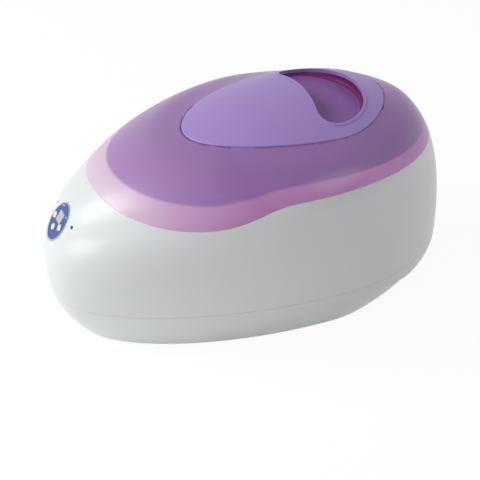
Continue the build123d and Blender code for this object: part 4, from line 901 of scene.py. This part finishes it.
@dataclass
class Shells(SubAssembly):
    """The three large mouldings, whose CAD facets are refined and settled onto the exact form."""

    form: BodyForm = field(default_factory=BodyForm)
    panel: PanelPlane = field(default_factory=PanelPlane)
    seat: PlateSeat = field(default_factory=PlateSeat)
    longest_edge: float = 5.0
    rounds: int = 7
    catch: float = 0.7
    panel_reach: float = 40.0
    panel_catch: float = 0.05
    base_gap: float = 0.05
    crown_gap: float = 3.5
    lid_wall: float = 2.6
    plinth_step: float = 2.0
    plinth_step_height: float = 20.0
    sharp_angle: float = 32.0
    facing: float = 0.93

    def insets(self, kind: Moulding, points: Array) -> list[Array]:
        """Gives the surfaces that a moulding follows, as insets from the body's form.

        Args:
            kind: Which moulding it is.
            points: Points in millimetres, one row each.

        Returns:
            For each surface, one inset for each point.
        """
        surfaces = [np.zeros(len(points))]
        if kind is Moulding.BASE:
            rise = np.clip((points[:, 2] - self.form.underside) / self.plinth_step_height, 0, 1)
            surfaces.append(self.plinth_step * rise)
        if kind is Moulding.LID:
            surfaces.append(np.full(len(points), self.lid_wall))
        return surfaces

    def on_panel(self, points: Array) -> Array:
        """Tells which points lie on the flat for the control panel.

        Args:
            points: Points in millimetres, one row each.

        Returns:
            One truth value for each point.
        """
        lean = math.radians(self.panel.tilt)
        offset = points - np.array(self.panel.origin())
        depth = offset @ np.array((0, -math.cos(lean), math.sin(lean)))
        close = np.linalg.norm(offset, axis=1) < self.panel_reach
        return (np.abs(depth) < self.panel_catch) & close

    def near(self, points: Array, kind: Moulding) -> tuple[Array, Array, Array]:
        """Finds the points on the form.

        Args:
            points: Points in millimetres, one row each.
            kind: Which moulding it is.

        Returns:
            Which points lie on it, where they settle, and the outward normal there.
        """
        best = np.full(len(points), self.catch)
        settled = points.copy()
        normals = np.zeros_like(points)
        for inset in self.insets(kind, points):
            there, normal = self.form.settle(points, inset)
            distance = np.linalg.norm(there - points, axis=1)
            closer = distance < best
            settled[closer] = there[closer]
            normals[closer] = normal[closer]
            best[closer] = distance[closer]
        caught = (best < self.catch) & ~self.on_panel(points)
        above = points[:, 2] > self.form.underside + self.base_gap
        below = points[:, 2] < self.form.crown - self.crown_gap
        return caught & above & below, settled, normals

    def clear_slivers(self, work: Work) -> None:
        """Deletes the flat pairs of faces that a cut leaves on the same three corners of a sliver.

        Args:
            work: The bmesh that is cleared.
        """
        groups: dict[frozenset[bmesh.types.BMVert], list[bmesh.types.BMFace]] = {}
        for face in work.faces:
            groups.setdefault(frozenset(face.verts), []).append(face)
        doubled = [face for group in groups.values() if len(group) > 1 for face in group]
        bmesh.ops.delete(work, geom=doubled, context="FACES")

    def refine(self, work: Work, kind: Moulding) -> None:
        """Halves the long edges on the outer form until none is longer than the limit.

        Args:
            work: The bmesh that is refined.
            kind: Which moulding it is.
        """
        for _ in range(self.rounds):
            caught, _, _ = self.near(np.array([vert.co for vert in work.verts]) / MM, kind)
            work.verts.ensure_lookup_table()
            work.verts.index_update()
            long = [
                edge
                for edge in work.edges
                if edge.calc_length() > self.longest_edge * MM
                and caught[edge.verts[0].index]
                and caught[edge.verts[1].index]
            ]
            if not long:
                return
            bmesh.ops.subdivide_edges(work, edges=long, cuts=1)
            bmesh.ops.triangulate(work, faces=[face for face in work.faces if len(face.verts) > 3])
            self.clear_slivers(work)

    def smooth_copy(self, node: bpy.types.Object, name: str, kind: Moulding) -> bpy.types.Object:
        """Makes the smooth piece that stands for a CAD moulding.

        Args:
            node: The CAD node.
            name: The new piece's name.
            kind: Which moulding it is.

        Returns:
            The piece, at the origin.
        """
        work = bmesh.new()
        work.from_mesh(node.data)
        bmesh.ops.remove_doubles(work, verts=work.verts, dist=MERGE_DISTANCE)
        self.refine(work, kind)
        points = np.array([vert.co for vert in work.verts]) / MM
        caught, settled, normals = self.near(points, kind)
        settled = np.where(caught[:, None], settled, points)
        if kind is Moulding.LID:
            # The form's own normals no longer hold on the sunk surface
            settled[:, 2] -= self.seat.sink(settled)
            caught = np.zeros_like(caught)
        for vert, place in zip(work.verts, settled):
            vert.co = Vector(place) * MM
        mesh = bpy.data.meshes.new(name)
        work.to_mesh(mesh)
        work.free()
        self.shade(mesh, caught, normals)
        return new_piece(name, mesh)

    def shade(self, mesh: bpy.types.Mesh, caught: Array, normals: Array) -> None:
        """Shades the outer faces by the form's own normals and the rest by angle.

        Args:
            mesh: The refined mesh.
            caught: Which vertices lie on the outer form.
            normals: The form's normal at each of them.
        """
        mesh.shade_smooth()
        mesh.set_sharp_from_angle(angle=math.radians(self.sharp_angle))
        corners = np.zeros(len(mesh.loops) * 3, np.float32)
        mesh.corner_normals.foreach_get("vector", corners)
        corners = corners.reshape(-1, 3)
        vertex = np.zeros(len(mesh.loops), np.int64)
        mesh.loops.foreach_get("vertex_index", vertex)
        faces = np.zeros(len(mesh.polygons) * 3, np.float32)
        mesh.polygons.foreach_get("normal", faces)
        faces = np.repeat(faces.reshape(-1, 3), 3, axis=0)
        outer = caught[vertex] & ((faces * normals[vertex]).sum(axis=1) > self.facing)
        whole = np.repeat(outer.reshape(-1, 3).all(axis=1), 3)
        corners[whole] = normals[vertex][whole]
        mesh.normals_split_custom_set([tuple(normal) for normal in corners])

    def build(self) -> None:
        """Builds and dresses the mouldings."""
        plan = (
            ("upper_housing", "housing_shell", Body.HOUSING, HOUSING_ABS, Moulding.UPPER),
            ("bottom_shell", "base_shell", Body.HOUSING, HOUSING_ABS, Moulding.BASE),
            ("lid", "lid_dome", Body.LID, LID_PP, Moulding.LID),
        )
        for node, name, body, finish, kind in plan:
            piece = self.smooth_copy(self.frame["nodes"][node], name, kind)
            self.paints.paint(piece, finish)
            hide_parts(node)
            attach(piece, body.value)
            log.info("%s: %d faces", name, len(piece.data.polygons))


@dataclass(frozen=True)
class InkPatch:
    """One printed patch on the label: where it lies round the ring and its half sizes, in millimetres."""

    name: str
    ink: Finish
    angle: float
    radius: float
    half_length: float
    half_width: float


@dataclass
class PanelDetails(SubAssembly):
    """What is printed on the control panel's label, in millimetres on the panel's plane."""

    panel: PanelPlane = field(default_factory=PanelPlane)
    ring_x: float = -0.4
    ring_y: float = 2.3
    ring_radius: float = 9.5
    label_top: float = 0.30
    button_top: float = 1.30
    patches: tuple[InkPatch, ...] = (
        InkPatch("label_patch_lilac", LILAC_INK, 117.0, 12.4, 2.8, 0.8),
        InkPatch("label_patch_pale", PALE_INK, 37.0, 11.2, 1.0, 1.6),
    )
    patch_rise: float = 0.10
    patch_steps: int = 40
    patch_profile: Pairs = ((0.0, 0.0), (1.0, 0.0), (1.0, 0.5), (0.94, 0.85), (0.85, 1.0), (0.0, 1.0))
    mark_angle: float = 333.0
    mark_length: float = 2.2
    mark_width: float = 0.7
    mark_rise: float = 0.06
    mark_steps: int = 8

    def place(self, angle: float, radius: float, level: float) -> Matrix:
        """Gives the matrix of a spot round the ring's middle, with its X axis along the ring.

        Args:
            angle: Where the spot lies round the ring, in degrees.
            radius: How far it lies from the ring's middle.
            level: How far it lies over the panel's plane.

        Returns:
            The matrix, from millimetres at the spot to the frame in metres.
        """
        turn = math.radians(angle)
        x = self.ring_x + radius * math.cos(turn)
        y = self.ring_y + radius * math.sin(turn)
        spot = Matrix.Translation(Vector((x, y, level)))
        return self.panel.matrix() @ spot @ Matrix.Rotation(turn + math.pi / 2, 4, "Z")

    def patch(self, work: Work, patch: InkPatch) -> None:
        """Adds one shallow oval pad with a rounded edge."""
        lathe(work, [(x, z * self.patch_rise) for x, z in self.patch_profile], self.patch_steps)
        bmesh.ops.scale(work, vec=(patch.half_length, patch.half_width, 1), verts=work.verts)

    def mark(self, work: Work) -> None:
        """Adds a small printed bar with round ends.

        Args:
            work: The bmesh that gets the faces.
        """
        radius = self.mark_width / 2
        half = (self.mark_length - self.mark_width) / 2
        bottom = []
        for end in (1, -1):
            for step in range(self.mark_steps + 1):
                turn = math.radians(-90 + 180 * step / self.mark_steps)
                x = end * (half + radius * math.cos(turn))
                bottom.append(work.verts.new((x, end * radius * math.sin(turn), 0)))
        raised = bmesh.ops.extrude_face_region(work, geom=[work.faces.new(bottom)])
        verts = [item for item in raised["geom"] if isinstance(item, bmesh.types.BMVert)]
        bmesh.ops.translate(work, vec=(0, 0, self.mark_rise), verts=verts)

    def build(self) -> None:
        """Builds and dresses the printed details."""
        for patch in self.patches:
            place = self.place(patch.angle, patch.radius, self.label_top)
            piece = new_piece(
                patch.name, mesh_from(patch.name, partial(self.patch, patch=patch), place)
            )
            self.paints.paint(piece, patch.ink)
            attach(piece, Body.HOUSING.value)
            log.info("%s on the label", patch.name)
        place = self.place(self.mark_angle, self.ring_radius, self.button_top)
        piece = new_piece("button_mark", mesh_from("button_mark", self.mark, place))
        self.paints.paint(piece, GREY_INK)
        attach(piece, Body.RIGHT_BUTTON.value)
        log.info("button_mark on the right button")


@dataclass
class RimScrews(SubAssembly):
    """The pan-head screws around the tank's flange, with cross recesses, set out by Geometry Nodes."""

    head_radius: float = 2.4
    head_height: float = 1.6
    head_dome: Pairs = ((1.0, 0.0), (1.0, 0.45), (0.86, 0.80), (0.55, 0.96), (0.0, 1.0))
    shank_radius: float = 1.2
    shank_length: float = 6.5
    recess_length: float = 2.6
    recess_width: float = 0.6
    recess_depth: float = 0.9
    steps: int = 32
    sharp_angle: float = 35.0
    seed: int = 7

    def head(self, work: Work) -> None:
        """Adds one screw with its seat at height 0 and a domed head above.

        Args:
            work: The bmesh that gets the faces.
        """
        end = -self.shank_length
        shank = [(0.0, end), (self.shank_radius, end), (self.shank_radius, 0.0)]
        dome = [(x * self.head_radius, z * self.head_height) for x, z in self.head_dome]
        lathe(work, shank + dome, self.steps)

    def cutter(self, work: Work) -> None:
        """Adds the cross that is sunk into the head.

        Args:
            work: The bmesh that gets the faces.
        """
        size = (self.recess_length, self.recess_width, 2 * self.recess_depth)
        for turn in (0, 90):
            verts = bmesh.ops.create_cube(work, size=1.0)["verts"]
            bmesh.ops.scale(work, vec=size, verts=verts)
            bmesh.ops.rotate(work, matrix=Matrix.Rotation(math.radians(turn), 3, "Z"), verts=verts)
            bmesh.ops.translate(work, vec=(0, 0, self.head_height), verts=verts)

    def pattern(self) -> bpy.types.Object:
        """Makes the one screw that is repeated, with its recess cut.

        Returns:
            The screw.
        """
        scale = Matrix.Scale(MM, 4)
        screw = new_piece("rim_screw_pattern", mesh_from("rim_screw", self.head, scale))
        cross = new_piece("rim_screw_cross", mesh_from("rim_screw_cross", self.cutter, scale))
        cut = screw.modifiers.new("recess", "BOOLEAN")
        cut.operation = "DIFFERENCE"
        cut.solver = "EXACT"
        cut.use_self = True
        cut.object = cross
        baked(screw).set_sharp_from_angle(angle=math.radians(self.sharp_angle))
        bpy.data.objects.remove(cross)
        return screw

    def tree(self) -> bpy.types.GeometryNodeTree:
        """Builds the tree that sets one screw on every point.

        Returns:
            The tree, with named inputs for the screw, its size and its material.
        """
        tree = bpy.data.node_groups.new("rim_screws", "GeometryNodeTree")
        plan = (
            ("Geometry", "INPUT", "NodeSocketGeometry"),
            ("Screw", "INPUT", "NodeSocketObject"),
            ("Size", "INPUT", "NodeSocketFloat"),
            ("Finish", "INPUT", "NodeSocketMaterial"),
            ("Geometry", "OUTPUT", "NodeSocketGeometry"),
        )
        for name, way, kind in plan:
            tree.interface.new_socket(name, in_out=way, socket_type=kind)
        given = add_node(tree, "NodeGroupInput").outputs
        screw = add_node(tree, "GeometryNodeObjectInfo", {"Object": given["Screw"]})
        turns = {"Max": (0.0, 0.0, math.pi / 2), "Seed": self.seed}
        turn = add_node(tree, "FunctionNodeRandomValue", turns, data_type="FLOAT_VECTOR")
        spots = add_node(
            tree,
            "GeometryNodeInstanceOnPoints",
            {
                "Points": given["Geometry"],
                "Instance": screw.outputs["Geometry"],
                "Rotation": turn.outputs[0],
                "Scale": given["Size"],
            },
        )
        real = add_node(tree, "GeometryNodeRealizeInstances", {0: spots.outputs[0]})
        finish = {"Geometry": real.outputs[0], "Material": given["Finish"]}
        dressed = add_node(tree, "GeometryNodeSetMaterial", finish)
        add_node(tree, "NodeGroupOutput", {0: dressed.outputs[0]})
        return tree

    def seats(self, node: bpy.types.Object) -> list[Vector]:
        """Finds where the heads sit, from the CAD screws.

        Args:
            node: The CAD node that holds all the screws.

        Returns:
            For each screw, the middle of its head's underside, in metres.
        """
        work = bmesh.new()
        work.from_mesh(node.data)
        bmesh.ops.remove_doubles(work, verts=work.verts, dist=MERGE_DISTANCE)
        left = set(work.verts)
        found = []
        for start in work.verts:
            if start not in left:
                continue
            left.remove(start)
            island = [start]
            for vert in island:
                others = {edge.other_vert(vert) for edge in vert.link_edges} & left
                left -= others
                island.extend(others)
            points = np.array([vert.co for vert in island])
            low, high = points.min(axis=0), points.max(axis=0)
            x, y = (low[:2] + high[:2]) / 2
            found.append(Vector((x, y, high[2] - self.head_height * MM)))
        work.free()
        return found

    def build(self) -> None:
        """Builds the screws as one piece that stands for the CAD screws."""
        seats = self.seats(self.frame["nodes"]["tank_screws"])
        mesh = bpy.data.meshes.new("rim_screws")
        mesh.from_pydata([tuple(seat) for seat in seats], [], [])
        piece = new_piece("rim_screws", mesh)
        pattern = self.pattern()
        tree = self.tree()
        modifier = piece.modifiers.new("set_out", "NODES")
        modifier.node_group = tree
        values = {"Screw": pattern, "Size": 1.0, "Finish": self.paints.material(ZINC_STEEL)}
        for item in tree.interface.items_tree:
            if item.in_out == "INPUT" and item.name in values:
                modifier[item.identifier] = values[item.name]
        faces = len(baked(piece).polygons)
        bpy.data.objects.remove(pattern)
        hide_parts("tank_screws")
        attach(piece, Body.HOUSING.value)
        log.info("rim_screws: %d screws, %d faces", len(seats), faces)


@dataclass(frozen=True)
class SoftLamp:
    """One square soft light, in metres and watts."""

    name: str
    place: tuple[float, float, float]
    target: tuple[float, float, float]
    size: float
    power: float

    def build(self) -> None:
        """Adds the lamp to the scene, turned towards its target."""
        data = bpy.data.lights.new(self.name, "AREA")
        data.shape = "SQUARE"
        data.size = self.size
        data.energy = self.power
        lamp = bpy.data.objects.new(self.name, data)
        lamp.location = self.place
        way = Vector(self.target) - Vector(self.place)
        lamp.rotation_euler = way.to_track_quat("-Z", "Y").to_euler()
        bpy.context.scene.collection.objects.link(lamp)


@dataclass
class Studio:
    """The plain pale studio: floor, background, soft lamps and the photograph's own camera."""

    azimuth: float = 66.81
    elevation: float = 33.45
    distance: float = 1.03709
    target: tuple[float, float, float] = (0.0, -0.00315, 0.102)
    focal_pixels: float = 1121.26
    centre_x: float = 244.75
    centre_y: float = 193.85
    sensor: float = 36.0
    clip_start: float = 0.01
    world_light: float = 0.26
    floor_half: float = 6.0
    floor_colour: str = "#F0F0F0"
    floor_glow: float = 0.84
    floor_strength: float = 1.08
    lamps: tuple[SoftLamp, ...] = (
        SoftLamp("key_soft", (-0.7, -1.6, 1.5), (0.0, -0.05, 0.10), 1.0, 22.0),
        SoftLamp("low_front", (0.25, -1.95, 0.25), (0.0, 0.0, 0.10), 0.8, 12.0),
        SoftLamp("rear_top", (1.0, 1.2, 1.6), (0.0, 0.05, 0.12), 0.9, 5.0),
    )

    def seen_directly(self, tree: Tree) -> Socket:
        """Gives 1 for camera, glossy and transmitted rays and 0 for the others.

        Args:
            tree: The node tree that asks.

        Returns:
            The socket.
        """
        path = add_node(tree, "ShaderNodeLightPath").outputs
        seen = {0: path["Is Camera Ray"], 1: path["Is Glossy Ray"]}
        either = add_node(tree, "ShaderNodeMath", seen, operation="MAXIMUM").outputs[0]
        all_seen = {0: either, 1: path["Is Transmission Ray"]}
        return add_node(tree, "ShaderNodeMath", all_seen, operation="MAXIMUM").outputs[0]

    def build_world(self) -> None:
        """Makes the white surroundings, which light the object less brightly than they look."""
        world = bpy.data.worlds.new("white_surroundings")
        bpy.context.scene.world = world
        world.use_nodes = True
        tree = world.node_tree
        tree.nodes.clear()
        span = {"Value": self.seen_directly(tree), "To Min": self.world_light, "To Max": 1.0}
        level = add_node(tree, "ShaderNodeMapRange", span).outputs[0]
        sky = add_node(tree, "ShaderNodeBackground", {"Color": (1, 1, 1, 1), "Strength": level})
        add_node(tree, "ShaderNodeOutputWorld", {"Surface": sky.outputs[0]})

    def build_floor(self) -> None:
        """Makes the pale floor, which glows a little for the camera and keeps the object's shadow."""
        mesh = bpy.data.meshes.new("studio_floor")
        side = self.floor_half
        square = [(-side, -side, 0), (side, -side, 0), (side, side, 0), (-side, side, 0)]
        mesh.from_pydata(square, [], [(0, 1, 2, 3)])
        floor = new_piece("studio_floor", mesh)
        material = bpy.data.materials.new("matt_white_paper")
        material.use_nodes = True
        tree = material.node_tree
        tree.nodes.clear()
        seen = {0: self.seen_directly(tree), 1: self.floor_glow}
        share = add_node(tree, "ShaderNodeMath", seen, operation="MULTIPLY").outputs[0]
        tone = {"Color": linear(self.floor_colour)}
        paper = add_node(tree, "ShaderNodeBsdfDiffuse", tone).outputs[0]
        light = {"Color": (1, 1, 1, 1), "Strength": self.floor_strength}
        glow = add_node(tree, "ShaderNodeEmission", light).outputs[0]
        mix = add_node(tree, "ShaderNodeMixShader", {0: share, 1: paper, 2: glow})
        add_node(tree, "ShaderNodeOutputMaterial", {"Surface": mix.outputs[0]})
        mesh.materials.append(material)

    def build_camera(self) -> None:
        """Sets the camera that was solved from the photograph."""
        data = bpy.data.cameras.new("photo_camera")
        data.sensor_width = self.sensor
        data.lens = self.focal_pixels / PHOTO_PIXELS * self.sensor
        data.shift_x = (PHOTO_PIXELS / 2 - self.centre_x) / PHOTO_PIXELS
        data.shift_y = (self.centre_y - PHOTO_PIXELS / 2) / PHOTO_PIXELS
        data.clip_start = self.clip_start
        camera = bpy.data.objects.new("photo_camera", data)
        turn, lift = math.radians(self.azimuth), math.radians(self.elevation)
        level = math.cos(lift)
        back = Vector((math.sin(turn) * level, -math.cos(turn) * level, math.sin(lift)))
        camera.location = Vector(self.target) + back * self.distance
        camera.rotation_euler = (-back).to_track_quat("-Z", "Y").to_euler()
        bpy.context.scene.collection.objects.link(camera)
        bpy.context.scene.camera = camera

    def build(self) -> None:
        """Builds the whole studio."""
        bpy.context.scene.view_settings.view_transform = "Standard"
        self.build_world()
        self.build_floor()
        self.build_camera()
        for lamp in self.lamps:
            lamp.build()
        log.info("studio with %d lamps", len(self.lamps))


def dress_nodes(frame: dict[str, Any], paints: Paintbox) -> None:
    """Gives every CAD node its finish.

    Args:
        paints: The materials.
    """
    for finish, names in NODE_FINISHES.items():
        for name in names:
            paints.paint(frame["nodes"][name], finish)
            log.info("%s: %s", name, finish.name)


def corners(box: tuple[Vector, Vector]) -> list[list[float]]:
    """Gives a box as plain lists of numbers."""
    return [[float(value) for value in corner] for corner in box]


def main() -> None:
    """Builds the dressed object, piece by piece, and the studio around it."""
    logging.basicConfig(level=logging.INFO, format="%(name)s: %(message)s")
    for item in list(bpy.data.objects):
        bpy.data.objects.remove(item)
    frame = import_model()
    paints = Paintbox()
    dress_nodes(frame, paints)
    Shells(frame, paints).build()
    PanelDetails(frame, paints).build()
    RimScrews(frame, paints).build()
    Studio().build()


if __name__ == "__main__":
    main()
